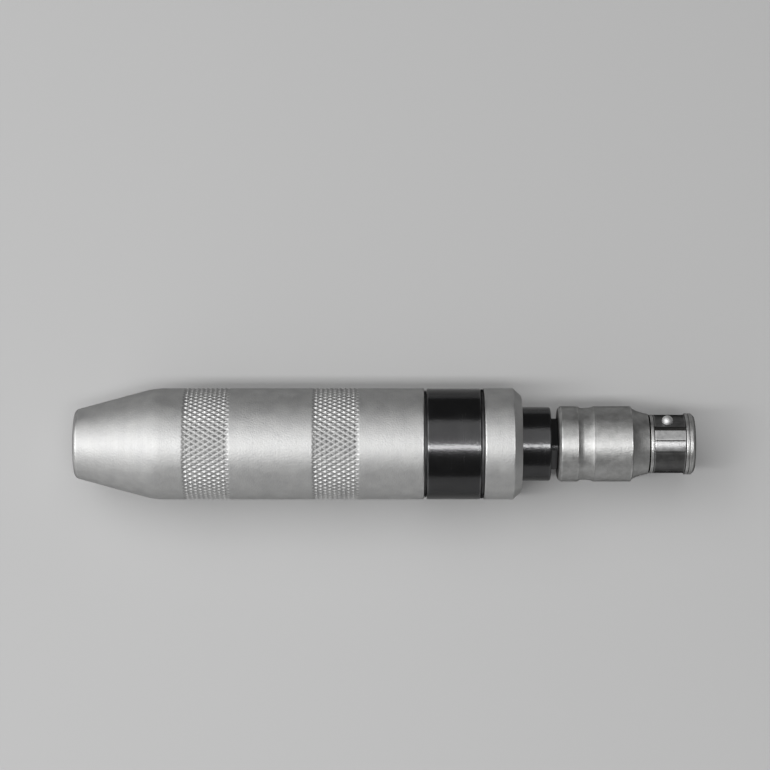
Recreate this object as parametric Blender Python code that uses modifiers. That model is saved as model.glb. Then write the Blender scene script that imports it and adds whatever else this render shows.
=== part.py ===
"""Hand impact driver with its hexagon bit holder, lying on its side.

The tool axis runs along +X, from the striking face at the left to the bit holder's nose at the right,
and the tool rests on z = 0. Inside, a cross pin through the spindle runs in two V-shaped slots in the
handle's skirt: when the handle is struck it runs forward over the spindle, the slots turn the pin, and
the main spring pushes the spindle back out. Sizes are in metres, and a station is a place along the
tool axis, measured from the striking face.
"""

import math

import bmesh
import bpy
from mathutils import Matrix, Vector

MM = 0.001

# Facets of round pieces. The large ones are a multiple of four, so a flat lies on each side.
FACETS = 40
SMALL_FACETS = 24
SEAL_SIDES = 6
WIRE_POINTS_PER_TURN = 14
FINE_WIRE_POINTS_PER_TURN = 10
ARC_STEPS = 4
CORNER_STEPS = 5

# Clearances, and how far a cutter runs past the wall that it cuts
RUNNING_GAP = 0.3 * MM
SEAT_GAP = 0.15 * MM
OVERRUN = 1.0 * MM

# Handle, one turned piece of steel with a closed striking end
HANDLE_RADIUS = 18.0 * MM
HANDLE_LENGTH = 113.1 * MM
TAPER_ANGLE = math.radians(15.0)
TAPER_BLEND_RADIUS = 25.0 * MM
CYLINDER_START = 29.3 * MM
FACE_CORNER_RADIUS = 2.4 * MM
SHOULDER_CHAMFER = 0.4 * MM
KNURL_WIDTH = 15.0 * MM
KNURL_RISE = 0.15 * MM
REAR_KNURL_START = 36.0 * MM
FRONT_KNURL_START = 77.4 * MM
HAMMER_LEDGE = 3.2 * MM
SPRING_BORE_FLOOR = 36.5 * MM
SKIRT_WALL = 1.9 * MM
SKIRT_END_CHAMFER = 0.4 * MM
SKIRT_PAST_SNAP_RING = 1.4 * MM

# Direction collar, black, keyed to the ends of the cross pin
COLLAR_SETBACK = 0.8 * MM
COLLAR_LENGTH = 17.4 * MM
COLLAR_WALL = 1.8 * MM
COLLAR_CHAMFER = 0.35 * MM
KEYWAY_DEPTH = 0.9 * MM
COLLAR_WASHER_RIM = 1.1 * MM

# Grease seal under the collar
COLLAR_SEAL_WIRE_RADIUS = 0.42 * MM
COLLAR_SEAL_GROOVE_DEPTH = 0.8 * MM
COLLAR_SEAL_SETBACK = 1.4 * MM

# Washer between the collar and the front ring
RING_WASHER_THICKNESS = 0.8 * MM
RING_WASHER_SETBACK = 0.3 * MM

# Front ring, screwed on the skirt
FRONT_RING_LENGTH = 12.1 * MM
FRONT_RING_CHAMFER_LENGTH = 2.6 * MM
FRONT_RING_CHAMFER_DEPTH = 2.4 * MM
FRONT_RING_EDGE = 0.35 * MM

# Wiper seal in the front ring's lip
WIPER_WIRE_RADIUS = 0.75 * MM
WIPER_SETBACK = 1.7 * MM

# Cross pin and the V-shaped slots that turn it
PIN_RADIUS = 3.0 * MM
PIN_END_CHAMFER = 0.5 * MM
PIN_KEY_LENGTH = 0.6 * MM
PIN_SETBACK = 2.5 * MM
STROKE = 8.0 * MM
BLOW_TURN = math.radians(25.0)
PIN_CLOCK = math.radians(90.0)
SLOT_STEPS = 6
SLOT_END_STEPS = 6

# Spindle: barrel, rear journal, neck and half-inch drive square
BARREL_FRONT_LAND = 1.5 * MM
BARREL_REAR_LAND = 3.5 * MM
BARREL_CHAMFER = 0.6 * MM
JOURNAL_LENGTH = 21.0 * MM
NECK_OUT = 9.4 * MM
NECK_CHAMFER = 0.5 * MM
SQUARE_ACROSS_FLATS = 12.7 * MM
SQUARE_CORNER_RADIUS = 8.3 * MM
SQUARE_LENGTH = 15.6 * MM
SQUARE_CHAMFER = 1.2 * MM
SQUARE_CORNER_CLOCK = math.radians(28.0)
BALL_SEAT_MOUTH = 3.4 * MM
SEAT_SLOPE = math.radians(45.0)

# Hardened stop washer, guide bush and snap ring that carry the spindle's neck
STOP_WASHER_THICKNESS = 1.0 * MM
BUSH_WALL = 1.55 * MM
BUSH_LENGTH = 5.4 * MM
SNAP_RING_THICKNESS = 1.2 * MM
SNAP_RING_BITE = 0.7 * MM
SNAP_RING_HEIGHT = 2.0 * MM
SNAP_RING_MOUTH = 7.0 * MM

# Thrust ball, spring plunger, main spring and its seat
THRUST_BALL_RADIUS = 3.5 * MM
PLUNGER_HEAD = 4.0 * MM
PLUNGER_STEM_CLEARANCE = 1.65 * MM
PLUNGER_STEM_LENGTH = 14.0 * MM
PLUNGER_CHAMFER = 0.8 * MM
SPRING_WIRE_RADIUS = 1.6 * MM
SPRING_TURNS = 8.5
SPRING_CLOSED_TURNS = 1.0
SPRING_SEAT_THICKNESS = 2.0 * MM

# Spring-loaded ball on the drive square
DRIVE_BALL_RADIUS = 2.25 * MM
DRIVE_BALL_PROUD = 0.25 * MM
DRIVE_BALL_STATION = 8.0 * MM
DRIVE_SPRING_WIRE_RADIUS = 0.28 * MM
DRIVE_SPRING_TURNS = 4.5
DRIVE_SPRING_LENGTH = 4.6 * MM

# Bit holder
HOLDER_SETBACK = 2.45 * MM
HOLDER_RADIUS = 12.2 * MM
HOLDER_REAR_CHAMFER = 0.85 * MM
HOLDER_REAR_BAND = 6.15 * MM
HOLDER_GROOVE_WIDTH = 5.3 * MM
HOLDER_GROOVE_WALL = 1.4 * MM
HOLDER_GROOVE_DEPTH = 0.6 * MM
HOLDER_MAIN_BAND = 12.1 * MM
HOLDER_TAPER_LENGTH = 5.5 * MM
NOSE_RADIUS = 9.45 * MM
NOSE_REAR_RIM = 1.6 * MM
BAND_GROOVE_LENGTH = 10.3 * MM
NOSE_RIM_RADIUS = 9.9 * MM
NOSE_RIM_LENGTH = 2.1 * MM
NOSE_RIM_LINE_DEPTH = 0.25 * MM
NOSE_CHAMFER = 0.9 * MM
BIT_ACROSS_FLATS = 10.2 * MM
BIT_SOCKET_DEPTH = 18.0 * MM
BIT_SOCKET_CHAMFER = 0.9 * MM

# Spring band round the nose and its domed retaining pin
BAND_THICKNESS = 0.55 * MM
BAND_GAP = 1.9 * MM
BAND_GAP_CLOCK = math.radians(-12.7)
RETAINING_PIN_CLOCK = math.radians(-31.0)
RETAINING_PIN_SETBACK = 4.4 * MM
RETAINING_PIN_RADIUS = 1.2 * MM
RETAINING_PIN_HEAD_RADIUS = 1.87 * MM
RETAINING_PIN_HEAD_LIFT = 0.1 * MM
RETAINING_PIN_REACH = 0.6 * MM

# Stations and radii worked out from the sizes above
skirt_radius = HANDLE_RADIUS - COLLAR_WALL - RUNNING_GAP
collar_bore = skirt_radius + RUNNING_GAP
bore_radius = skirt_radius - SKIRT_WALL
barrel_radius = bore_radius - RUNNING_GAP
neck_radius = bore_radius - SEAT_GAP - BUSH_WALL - RUNNING_GAP
spring_bore_radius = bore_radius - HAMMER_LEDGE
journal_radius = spring_bore_radius - RUNNING_GAP
collar_start = HANDLE_LENGTH + COLLAR_SETBACK
collar_end = collar_start + COLLAR_LENGTH
ring_washer_rear = collar_end + SEAT_GAP
ring_washer_front = ring_washer_rear + RING_WASHER_THICKNESS
ring_start = ring_washer_front + SEAT_GAP
ring_end = ring_start + FRONT_RING_LENGTH
slot_half_width = PIN_RADIUS + RUNNING_GAP
pin_station = collar_end - PIN_SETBACK - slot_half_width
seal_groove_half_width = COLLAR_SEAL_WIRE_RADIUS + SEAT_GAP
seal_station = collar_end - COLLAR_SEAL_SETBACK
barrel_front = pin_station + PIN_RADIUS + BARREL_FRONT_LAND
barrel_rear = pin_station - PIN_RADIUS - BARREL_REAR_LAND
hammer_shoulder = barrel_rear - STROKE - RUNNING_GAP
journal_rear = barrel_rear - JOURNAL_LENGTH
stop_washer_rear = barrel_front + RUNNING_GAP
bush_rear = stop_washer_rear + STOP_WASHER_THICKNESS + SEAT_GAP
bush_front = bush_rear + BUSH_LENGTH
snap_ring_rear = bush_front + SEAT_GAP
snap_ring_front = snap_ring_rear + SNAP_RING_THICKNESS
snap_groove_radius = bore_radius + SNAP_RING_BITE + SEAT_GAP
skirt_end = snap_ring_front + SKIRT_PAST_SNAP_RING
neck_end = ring_end + NECK_OUT
square_end = neck_end + SQUARE_LENGTH
holder_rear = neck_end + HOLDER_SETBACK
square_socket_floor = square_end + RUNNING_GAP
holder_groove_start = holder_rear + HOLDER_REAR_BAND
holder_groove_end = holder_groove_start + HOLDER_GROOVE_WIDTH
holder_main_end = holder_groove_end + HOLDER_MAIN_BAND
nose_start = holder_main_end + HOLDER_TAPER_LENGTH
band_groove_start = nose_start + NOSE_REAR_RIM
band_groove_end = band_groove_start + BAND_GROOVE_LENGTH
nose_rim_end = band_groove_end + NOSE_RIM_LENGTH
holder_end = nose_rim_end + NOSE_CHAMFER
band_groove_radius = NOSE_RADIUS - BAND_THICKNESS - SEAT_GAP
retaining_pin_station = band_groove_start + RETAINING_PIN_SETBACK
bit_socket_floor = holder_end - BIT_SOCKET_DEPTH
seat_reach = (THRUST_BALL_RADIUS + SEAT_GAP) / math.sin(SEAT_SLOPE)
seat_apex_depth = BALL_SEAT_MOUTH / math.tan(SEAT_SLOPE)
thrust_ball_station = journal_rear + seat_apex_depth - seat_reach
plunger_front = thrust_ball_station - seat_reach + seat_apex_depth
plunger_head_rear = plunger_front - PLUNGER_HEAD
spring_front = plunger_head_rear - SEAT_GAP
spring_seat_rear = SPRING_BORE_FLOOR + SEAT_GAP
spring_seat_front = spring_seat_rear + SPRING_SEAT_THICKNESS
spring_rear = spring_seat_front + SEAT_GAP
spring_coil_radius = spring_bore_radius - RUNNING_GAP - SEAT_GAP - SPRING_WIRE_RADIUS
plunger_stem_radius = spring_coil_radius - SPRING_WIRE_RADIUS - PLUNGER_STEM_CLEARANCE
drive_ball_clock = SQUARE_CORNER_CLOCK + math.radians(45.0)
drive_ball_depth = SQUARE_ACROSS_FLATS / 2 + DRIVE_BALL_PROUD - DRIVE_BALL_RADIUS
drive_spring_outer = drive_ball_depth - DRIVE_BALL_RADIUS
drive_spring_inner = drive_spring_outer - DRIVE_SPRING_LENGTH
pin_half_length = collar_bore + PIN_KEY_LENGTH

# The flats of the largest round piece lie on z = 0
lowest_radius = (HANDLE_RADIUS + KNURL_RISE) * math.cos(math.pi / FACETS)

TOOL = "hand_impact_driver"
CUTTERS = "cutters"


def clear_scene():
    """Removes every object that the file starts with."""
    for item in list(bpy.data.objects):
        bpy.data.objects.remove(item, do_unlink=True)


def add_collection(name):
    """Adds a collection under the scene's own."""
    group = bpy.data.collections.new(name)
    bpy.context.scene.collection.children.link(group)
    return group


def add_axis():
    """Adds the empty that every piece hangs on: its Z axis is the tool axis, and its X axis points up."""
    axis = bpy.data.objects.new("tool_axis", None)
    axis.location = (-holder_end / 2, 0, lowest_radius)
    axis.rotation_euler = (0, -math.pi / 2, math.pi)
    bpy.data.collections[TOOL].objects.link(axis)
    return axis


def finish(name, colour, metallic, roughness):
    """Makes a Principled material of one colour."""
    material = bpy.data.materials.new(name)
    material.use_nodes = True
    shader = material.node_tree.nodes["Principled BSDF"]
    shader.inputs["Base Color"].default_value = (*colour, 1)
    shader.inputs["Metallic"].default_value = metallic
    shader.inputs["Roughness"].default_value = roughness
    material.diffuse_color = (*colour, 1)
    return material


def place(item, material=None):
    """Hangs a piece on the tool axis, in the tool's collection, or in the cutters' if it has no material."""
    item.parent = bpy.data.objects["tool_axis"]
    if material:
        item.data.materials.append(material)
        bpy.data.collections[TOOL].objects.link(item)
    else:
        item.hide_render = True
        item.display_type = "WIRE"
        bpy.data.collections[CUTTERS].objects.link(item)
    return item


def turned(name, outline, material=None, facets=FACETS):
    """Turns an outline of (radius, station) points about the tool axis.

    The outline runs down the outer side, from the nose towards the striking face, and up the inner one.
    It is closed into a ring unless it starts on the axis.
    """
    mesh = bpy.data.meshes.new(name)
    count = len(outline)
    edges = [(i, i + 1) for i in range(count - 1)]
    if outline[0][0] > 0:
        edges.append((count - 1, 0))
    mesh.from_pydata([(radius, 0, station) for radius, station in outline], edges, [])
    item = place(bpy.data.objects.new(name, mesh), material)
    item.rotation_euler.z = math.pi / facets
    screw = item.modifiers.new("turn", "SCREW")
    screw.axis = "Z"
    screw.angle = 2 * math.pi
    screw.steps = facets
    screw.render_steps = facets
    screw.use_merge_vertices = True
    screw.merge_threshold = SEAT_GAP / 10
    screw.use_smooth_shade = True
    return item


def ring_outline(inner, outer, rear, front, chamfer=0):
    """The outline of a plain ring, with its two outer edges chamfered."""
    if not chamfer:
        return [(outer, front), (outer, rear), (inner, rear), (inner, front)]
    return [
        (outer - chamfer, front),
        (outer, front - chamfer),
        (outer, rear + chamfer),
        (outer - chamfer, rear),
        (inner, rear),
        (inner, front),
    ]


def arc(centre, radius, start, end, steps):
    """Points of an arc in the (radius, station) plane, its angles measured from the outward direction."""
    turn = (end - start) / steps
    return [
        (centre[0] + radius * math.cos(start + turn * i), centre[1] + radius * math.sin(start + turn * i))
        for i in range(steps + 1)
    ]


def o_ring(name, middle_radius, wire_radius, station, material):
    """A rubber ring of round section about the tool axis."""
    start = math.pi / 2
    turn = 2 * math.pi / SEAL_SIDES
    outline = arc((middle_radius, station), wire_radius, start, start - 2 * math.pi + turn, SEAL_SIDES - 1)
    return turned(name, outline, material)


def radial_place(item, clock, station, distance=0):
    """Turns an item so that its own Z points away from the tool axis at a clock angle, and moves it there."""
    item.location = (distance * math.cos(clock), distance * math.sin(clock), station)
    item.rotation_euler = (0, math.pi / 2, clock)
    return item


def from_bmesh(name, shape, material=None):
    """Makes an object of a bmesh."""
    mesh = bpy.data.meshes.new(name)
    shape.to_mesh(mesh)
    shape.free()
    return place(bpy.data.objects.new(name, mesh), material)


def cylinder(name, radius, low, high, material=None, facets=SMALL_FACETS, high_radius=None):
    """A cylinder or a cone along its own Z, between two heights."""
    shape = bmesh.new()
    bmesh.ops.create_cone(
        shape,
        cap_ends=True,
        segments=facets,
        radius1=radius,
        radius2=radius if high_radius is None else high_radius,
        depth=high - low,
        matrix=Matrix.Translation((0, 0, (low + high) / 2)),
    )
    return from_bmesh(name, shape, material)


def box(name, low, high, material=None):
    """A box between two corners in its own frame."""
    shape = bmesh.new()
    bmesh.ops.create_cube(shape, size=1)
    low, high = Vector(low), Vector(high)
    size = high - low
    shape.transform(Matrix.Translation((low + high) / 2) @ Matrix.Diagonal((*size, 1)))
    return from_bmesh(name, shape, material)


def ball(name, radius, material):
    """A steel ball about its own origin."""
    shape = bmesh.new()
    bmesh.ops.create_uvsphere(shape, u_segments=SMALL_FACETS, v_segments=SMALL_FACETS // 2, radius=radius)
    item = from_bmesh(name, shape, material)
    item.data.shade_smooth()
    return item


def cut(target, cutter):
    """Takes a cutter's shape out of a piece."""
    boolean = target.modifiers.new(cutter.name, "BOOLEAN")
    boolean.operation = "DIFFERENCE"
    boolean.object = cutter
    return target


def coil(name, coil_radius, wire_radius, rear, front, turns, closed_turns, points_per_turn, material):
    """A compression spring along its own Z, with closed turns at both ends.

    The closed turns rise by the wire's thickness and three seat gaps, and the free turns share what is
    left.
    """
    low, high = rear + wire_radius, front - wire_radius
    closed_pitch = 2 * wire_radius + 3 * SEAT_GAP
    free_turns = turns - 2 * closed_turns
    free_pitch = (high - low - 2 * closed_turns * closed_pitch) / free_turns
    count = round(turns * points_per_turn) + 1
    curve = bpy.data.curves.new(name, "CURVE")
    curve.dimensions = "3D"
    curve.bevel_depth = wire_radius
    curve.bevel_resolution = 1
    curve.use_fill_caps = True
    spline = curve.splines.new("POLY")
    spline.points.add(count - 1)
    for index, point in enumerate(spline.points):
        turn = index * turns / (count - 1)
        first = min(turn, closed_turns)
        last = max(turn - (turns - closed_turns), 0)
        height = low + (first + last) * closed_pitch + (turn - first - last) * free_pitch
        angle = 2 * math.pi * turn
        point.co = (coil_radius * math.cos(angle), coil_radius * math.sin(angle), height, 1)
    least = min(closed_pitch, free_pitch) - 2 * wire_radius
    print(f"{name}: least gap between turns {least / MM:.2f} mm")
    item = bpy.data.objects.new(name, curve)
    return place(item, material)


def slot_leg(name, rear_clock, front_clock, opposite):
    """The cutter of one leg of a V-shaped slot: what the cross pin sweeps, with its clearance.

    The leg runs from the slot's rear corner to one of its front corners. Each point of its edge is carried
    through the skirt's wall along the pin's own direction there, so the pin keeps its clearance all the way.
    """
    side = math.pi if opposite else 0
    middle_radius = (bore_radius + skirt_radius) / 2
    rise = STROKE
    run = middle_radius * (front_clock - rear_clock)
    heading = math.atan2(run, rise)
    lay_in, lay_out = bore_radius - OVERRUN, skirt_radius + OVERRUN

    def edge_point(share, bearing):
        """A point of the edge: its pin direction, and its offset from the pin's axis along and round."""
        clock = rear_clock + (front_clock - rear_clock) * share + side
        along = slot_half_width * math.cos(bearing)
        round_ = slot_half_width * math.sin(bearing)
        return clock, pin_station - STROKE + rise * share + along, round_

    half_turn = math.pi / SLOT_END_STEPS
    edge = [edge_point(i / SLOT_STEPS, heading + math.pi / 2) for i in range(SLOT_STEPS)]
    edge += [edge_point(1, heading + math.pi / 2 - half_turn * i) for i in range(SLOT_END_STEPS + 1)]
    edge += [edge_point(1 - i / SLOT_STEPS, heading - math.pi / 2) for i in range(1, SLOT_STEPS)]
    edge += [edge_point(0, heading - math.pi / 2 - half_turn * i) for i in range(SLOT_END_STEPS)]
    shape = bmesh.new()
    layers = []
    for lay in (lay_in, lay_out):
        layers.append(
            [
                shape.verts.new(
                    (
                        lay * math.cos(clock) - round_ * math.sin(clock),
                        lay * math.sin(clock) + round_ * math.cos(clock),
                        station,
                    )
                )
                for clock, station, round_ in edge
            ]
        )
    count = len(edge)
    for i in range(count):
        j = (i + 1) % count
        shape.faces.new((layers[0][i], layers[0][j], layers[1][j], layers[1][i]))
    for layer in layers:
        cap = [layer[i] for i in range(SLOT_STEPS, SLOT_STEPS + SLOT_END_STEPS + 1)]
        shape.faces.new(cap)
        rear_first = 2 * SLOT_STEPS + SLOT_END_STEPS
        cap = [layer[i % count] for i in range(rear_first, count + 1)]
        shape.faces.new(cap)
        for i in range(SLOT_STEPS):
            across = (rear_first - i) % count
            shape.faces.new((layer[i], layer[i + 1], layer[(across - 1) % count], layer[across]))
    bmesh.ops.recalc_face_normals(shape, faces=shape.faces)
    return from_bmesh(name, shape)


def make_handle(steel):
    """The handle: striking end, taper, grip and the skirt that carries collar, front ring and slots."""
    slope = math.tan(TAPER_ANGLE)
    blend_centre = (HANDLE_RADIUS - TAPER_BLEND_RADIUS, CYLINDER_START)
    blend = arc(blend_centre, TAPER_BLEND_RADIUS, 0, -TAPER_ANGLE, ARC_STEPS)
    cone_top = blend[-1]
    apex_radius = cone_top[0] - slope * cone_top[1]
    corner_offset = FACE_CORNER_RADIUS * (slope - 1 / math.cos(TAPER_ANGLE))
    corner_centre = (apex_radius + corner_offset, FACE_CORNER_RADIUS)
    corner = arc(corner_centre, FACE_CORNER_RADIUS, -TAPER_ANGLE, -math.pi / 2, CORNER_STEPS)
    knurls = []
    for start in (FRONT_KNURL_START, REAR_KNURL_START):
        end = start + KNURL_WIDTH
        knurls += [
            (HANDLE_RADIUS, end),
            (HANDLE_RADIUS + KNURL_RISE, end - KNURL_RISE),
            (HANDLE_RADIUS + KNURL_RISE, start + KNURL_RISE),
            (HANDLE_RADIUS, start),
        ]
    groove_floor = skirt_radius - COLLAR_SEAL_GROOVE_DEPTH
    seal_groove = [
        (skirt_radius, seal_station + seal_groove_half_width),
        (groove_floor, seal_station + seal_groove_half_width),
        (groove_floor, seal_station - seal_groove_half_width),
        (skirt_radius, seal_station - seal_groove_half_width),
    ]
    snap_groove = [
        (bore_radius, snap_ring_rear - SEAT_GAP / 2),
        (snap_groove_radius, snap_ring_rear - SEAT_GAP / 2),
        (snap_groove_radius, snap_ring_front + SEAT_GAP / 2),
        (bore_radius, snap_ring_front + SEAT_GAP / 2),
    ]
    outline = [
        (0, SPRING_BORE_FLOOR),
        (spring_bore_radius, SPRING_BORE_FLOOR),
        (spring_bore_radius, hammer_shoulder),
        (bore_radius, hammer_shoulder),
        *snap_groove,
        (bore_radius, skirt_end),
        (skirt_radius - SKIRT_END_CHAMFER, skirt_end),
        (skirt_radius, skirt_end - SKIRT_END_CHAMFER),
        *seal_groove,
        (skirt_radius, HANDLE_LENGTH),
        (HANDLE_RADIUS - SHOULDER_CHAMFER, HANDLE_LENGTH),
        (HANDLE_RADIUS, HANDLE_LENGTH - SHOULDER_CHAMFER),
        *knurls,
        *blend,
        *corner,
        (0, 0),
    ]
    handle = turned("handle_body", outline, steel)
    apex_clock = PIN_CLOCK + BLOW_TURN
    for opposite in (False, True):
        for turn in (-BLOW_TURN, BLOW_TURN):
            name = f"slot_leg_{'far' if opposite else 'near'}_{'tighten' if turn < 0 else 'loosen'}"
            cut(handle, slot_leg(name, apex_clock, apex_clock + turn, opposite))
    return handle


def make_spring_train(steel, spring_steel, hardened):
    """The spring seat, main spring, plunger and thrust ball behind the spindle."""
    seat_radius = spring_bore_radius - SEAT_GAP
    outline = [
        (0, spring_seat_front),
        (seat_radius, spring_seat_front),
        (seat_radius, spring_seat_rear),
        (0, spring_seat_rear),
    ]
    turned("spring_seat", outline, hardened)
    coil(
        "main_spring",
        spring_coil_radius,
        SPRING_WIRE_RADIUS,
        spring_rear,
        spring_front,
        SPRING_TURNS,
        SPRING_CLOSED_TURNS,
        WIRE_POINTS_PER_TURN,
        spring_steel,
    )
    stem_end = plunger_head_rear - PLUNGER_STEM_LENGTH
    outline = [
        (0, plunger_front - seat_apex_depth),
        (BALL_SEAT_MOUTH, plunger_front),
        (journal_radius - PLUNGER_CHAMFER, plunger_front),
        (journal_radius, plunger_front - PLUNGER_CHAMFER),
        (journal_radius, plunger_head_rear),
        (plunger_stem_radius, plunger_head_rear),
        (plunger_stem_radius, stem_end + PLUNGER_CHAMFER),
        (plunger_stem_radius - PLUNGER_CHAMFER, stem_end),
        (0, stem_end),
    ]
    turned("spring_plunger", outline, steel)
    thrust = ball("thrust_ball", THRUST_BALL_RADIUS, hardened)
    thrust.location = (0, 0, thrust_ball_station)


def make_spindle(black):
    """The spindle: journal, barrel, neck and drive square, with the holes for its pin and its ball."""
    outline = [
        (0, square_end),
        (SQUARE_CORNER_RADIUS - SQUARE_CHAMFER, square_end),
        (SQUARE_CORNER_RADIUS, square_end - SQUARE_CHAMFER),
        (SQUARE_CORNER_RADIUS, neck_end),
        (neck_radius - NECK_CHAMFER, neck_end),
        (neck_radius, neck_end - NECK_CHAMFER),
        (neck_radius, barrel_front),
        (barrel_radius - BARREL_CHAMFER, barrel_front),
        (barrel_radius, barrel_front - BARREL_CHAMFER),
        (barrel_radius, barrel_rear + BARREL_CHAMFER),
        (barrel_radius - BARREL_CHAMFER, barrel_rear),
        (journal_radius, barrel_rear),
        (journal_radius, journal_rear + BARREL_CHAMFER),
        (journal_radius - BARREL_CHAMFER, journal_rear),
        (BALL_SEAT_MOUTH, journal_rear),
        (0, journal_rear + seat_apex_depth),
    ]
    spindle = turned("spindle", outline, black)
    half = SQUARE_ACROSS_FLATS / 2
    reach = SQUARE_CORNER_RADIUS + OVERRUN
    for side in range(4):
        low = (half, -reach, neck_end)
        high = (reach, reach, square_end + OVERRUN)
        flat = box(f"square_flat_{side + 1}", low, high)
        flat.rotation_euler.z = drive_ball_clock + side * math.pi / 2
        cut(spindle, flat)
    past_barrel = bore_radius + OVERRUN
    pin_hole = cylinder("cross_pin_hole", PIN_RADIUS + SEAT_GAP, -past_barrel, past_barrel)
    cut(spindle, radial_place(pin_hole, PIN_CLOCK, pin_station))
    ball_hole_radius = DRIVE_BALL_RADIUS + SEAT_GAP
    ball_hole = cylinder("drive_ball_hole", ball_hole_radius, drive_spring_inner - SEAT_GAP, half + OVERRUN)
    cut(spindle, radial_place(ball_hole, drive_ball_clock, neck_end + DRIVE_BALL_STATION))
    return spindle


def make_cross_pin(hardened):
    """The cross pin through the spindle, which the slots turn and the collar is keyed to."""
    outline = [
        (0, pin_half_length),
        (PIN_RADIUS - PIN_END_CHAMFER, pin_half_length),
        (PIN_RADIUS, pin_half_length - PIN_END_CHAMFER),
        (PIN_RADIUS, -pin_half_length + PIN_END_CHAMFER),
        (PIN_RADIUS - PIN_END_CHAMFER, -pin_half_length),
        (0, -pin_half_length),
    ]
    pin = turned("cross_pin", outline, hardened, SMALL_FACETS)
    return radial_place(pin, PIN_CLOCK, pin_station)


def make_collar(black, washer_steel, rubber):
    """The black direction collar with its two keyways, its washer and the grease seal under it."""
    outline = ring_outline(collar_bore, HANDLE_RADIUS, collar_start, collar_end, COLLAR_CHAMFER)
    collar = turned("direction_collar", outline, black)
    keyway_end = pin_station + slot_half_width
    for name, clock in (("near_keyway", PIN_CLOCK), ("far_keyway", PIN_CLOCK + math.pi)):
        low = (skirt_radius - OVERRUN, -slot_half_width, collar_start - OVERRUN)
        high = (collar_bore + KEYWAY_DEPTH, slot_half_width, keyway_end)
        keyway = box(name, low, high)
        keyway.rotation_euler.z = clock
        cut(collar, keyway)
    washer_rim = collar_bore + COLLAR_WASHER_RIM
    outline = ring_outline(collar_bore, washer_rim, HANDLE_LENGTH + SEAT_GAP, collar_start - SEAT_GAP)
    turned("collar_washer", outline, washer_steel)
    seal_middle = collar_bore - SEAT_GAP / 2 - COLLAR_SEAL_WIRE_RADIUS
    o_ring("collar_seal", seal_middle, COLLAR_SEAL_WIRE_RADIUS, seal_station, rubber)


def make_front_end(chrome, bronze, hardened, spring_steel, rubber):
    """What closes the handle: the washers, guide bush, snap ring, front ring and wiper seal."""
    hole = neck_radius + RUNNING_GAP
    seat = bore_radius - SEAT_GAP
    outline = ring_outline(hole, seat, stop_washer_rear, stop_washer_rear + STOP_WASHER_THICKNESS)
    turned("stop_washer", outline, hardened)
    turned("guide_bush", ring_outline(hole, seat, bush_rear, bush_front), bronze)
    snap_outer = bore_radius + SNAP_RING_BITE
    snap_inner = snap_outer - SNAP_RING_HEIGHT
    outline = ring_outline(snap_inner, snap_outer, snap_ring_rear, snap_ring_front)
    snap_ring = turned("snap_ring", outline, spring_steel)
    low = (snap_inner - SNAP_RING_HEIGHT, -SNAP_RING_MOUTH / 2, snap_ring_rear - OVERRUN)
    high = (snap_outer + OVERRUN, SNAP_RING_MOUTH / 2, snap_ring_front + OVERRUN)
    cut(snap_ring, box("snap_ring_mouth", low, high))
    washer_rim = HANDLE_RADIUS - RING_WASHER_SETBACK
    outline = ring_outline(collar_bore, washer_rim, ring_washer_rear, ring_washer_front)
    turned("ring_washer", outline, spring_steel)
    wiper_station = ring_end - WIPER_SETBACK
    groove_half_width = WIPER_WIRE_RADIUS + SEAT_GAP
    groove_floor = neck_radius + 2 * WIPER_WIRE_RADIUS + 2 * SEAT_GAP
    lip = skirt_end + RUNNING_GAP
    outline = [
        (HANDLE_RADIUS - FRONT_RING_CHAMFER_DEPTH, ring_end),
        (HANDLE_RADIUS, ring_end - FRONT_RING_CHAMFER_LENGTH),
        (HANDLE_RADIUS, ring_start + FRONT_RING_EDGE),
        (HANDLE_RADIUS - FRONT_RING_EDGE, ring_start),
        (collar_bore, ring_start),
        (collar_bore, lip),
        (hole, lip),
        (hole, wiper_station - groove_half_width),
        (groove_floor, wiper_station - groove_half_width),
        (groove_floor, wiper_station + groove_half_width),
        (hole, wiper_station + groove_half_width),
        (hole, ring_end),
    ]
    turned("front_ring", outline, chrome)
    o_ring("wiper_seal", neck_radius + SEAT_GAP + WIPER_WIRE_RADIUS, WIPER_WIRE_RADIUS, wiper_station, rubber)


def make_drive_ball(hardened, spring_steel):
    """The ball that holds the bit holder on the square, and the spring under it."""
    station = neck_end + DRIVE_BALL_STATION
    detent = ball("drive_ball", DRIVE_BALL_RADIUS, hardened)
    radial_place(detent, drive_ball_clock, station, drive_ball_depth)
    spring = coil(
        "drive_ball_spring",
        DRIVE_BALL_RADIUS - DRIVE_SPRING_WIRE_RADIUS - SEAT_GAP,
        DRIVE_SPRING_WIRE_RADIUS,
        drive_spring_inner,
        drive_spring_outer,
        DRIVE_SPRING_TURNS,
        0,
        FINE_WIRE_POINTS_PER_TURN,
        spring_steel,
    )
    radial_place(spring, drive_ball_clock, station)


def holder_groove():
    """The shallow groove round the holder: a short rear wall, then a quarter of an ellipse up to the front."""
    bottom = holder_groove_start + HOLDER_GROOVE_WALL
    run = holder_groove_end - bottom
    angles = [math.pi / 2 * i / ARC_STEPS for i in range(ARC_STEPS, -1, -1)]
    rise = [
        (HOLDER_RADIUS - HOLDER_GROOVE_DEPTH * math.cos(angle), bottom + run * math.sin(angle))
        for angle in angles
    ]
    return [*rise, (HOLDER_RADIUS, holder_groove_start)]


def holder_taper():
    """The hollow curve from the holder's main band to its nose, a quarter of an ellipse."""
    drop = HOLDER_RADIUS - NOSE_RADIUS
    angles = [math.pi / 2 * i / CORNER_STEPS for i in range(1, CORNER_STEPS + 1)]
    return [
        (NOSE_RADIUS + drop * (1 - math.cos(angle)), nose_start - HOLDER_TAPER_LENGTH * math.sin(angle))
        for angle in angles
    ]


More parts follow.
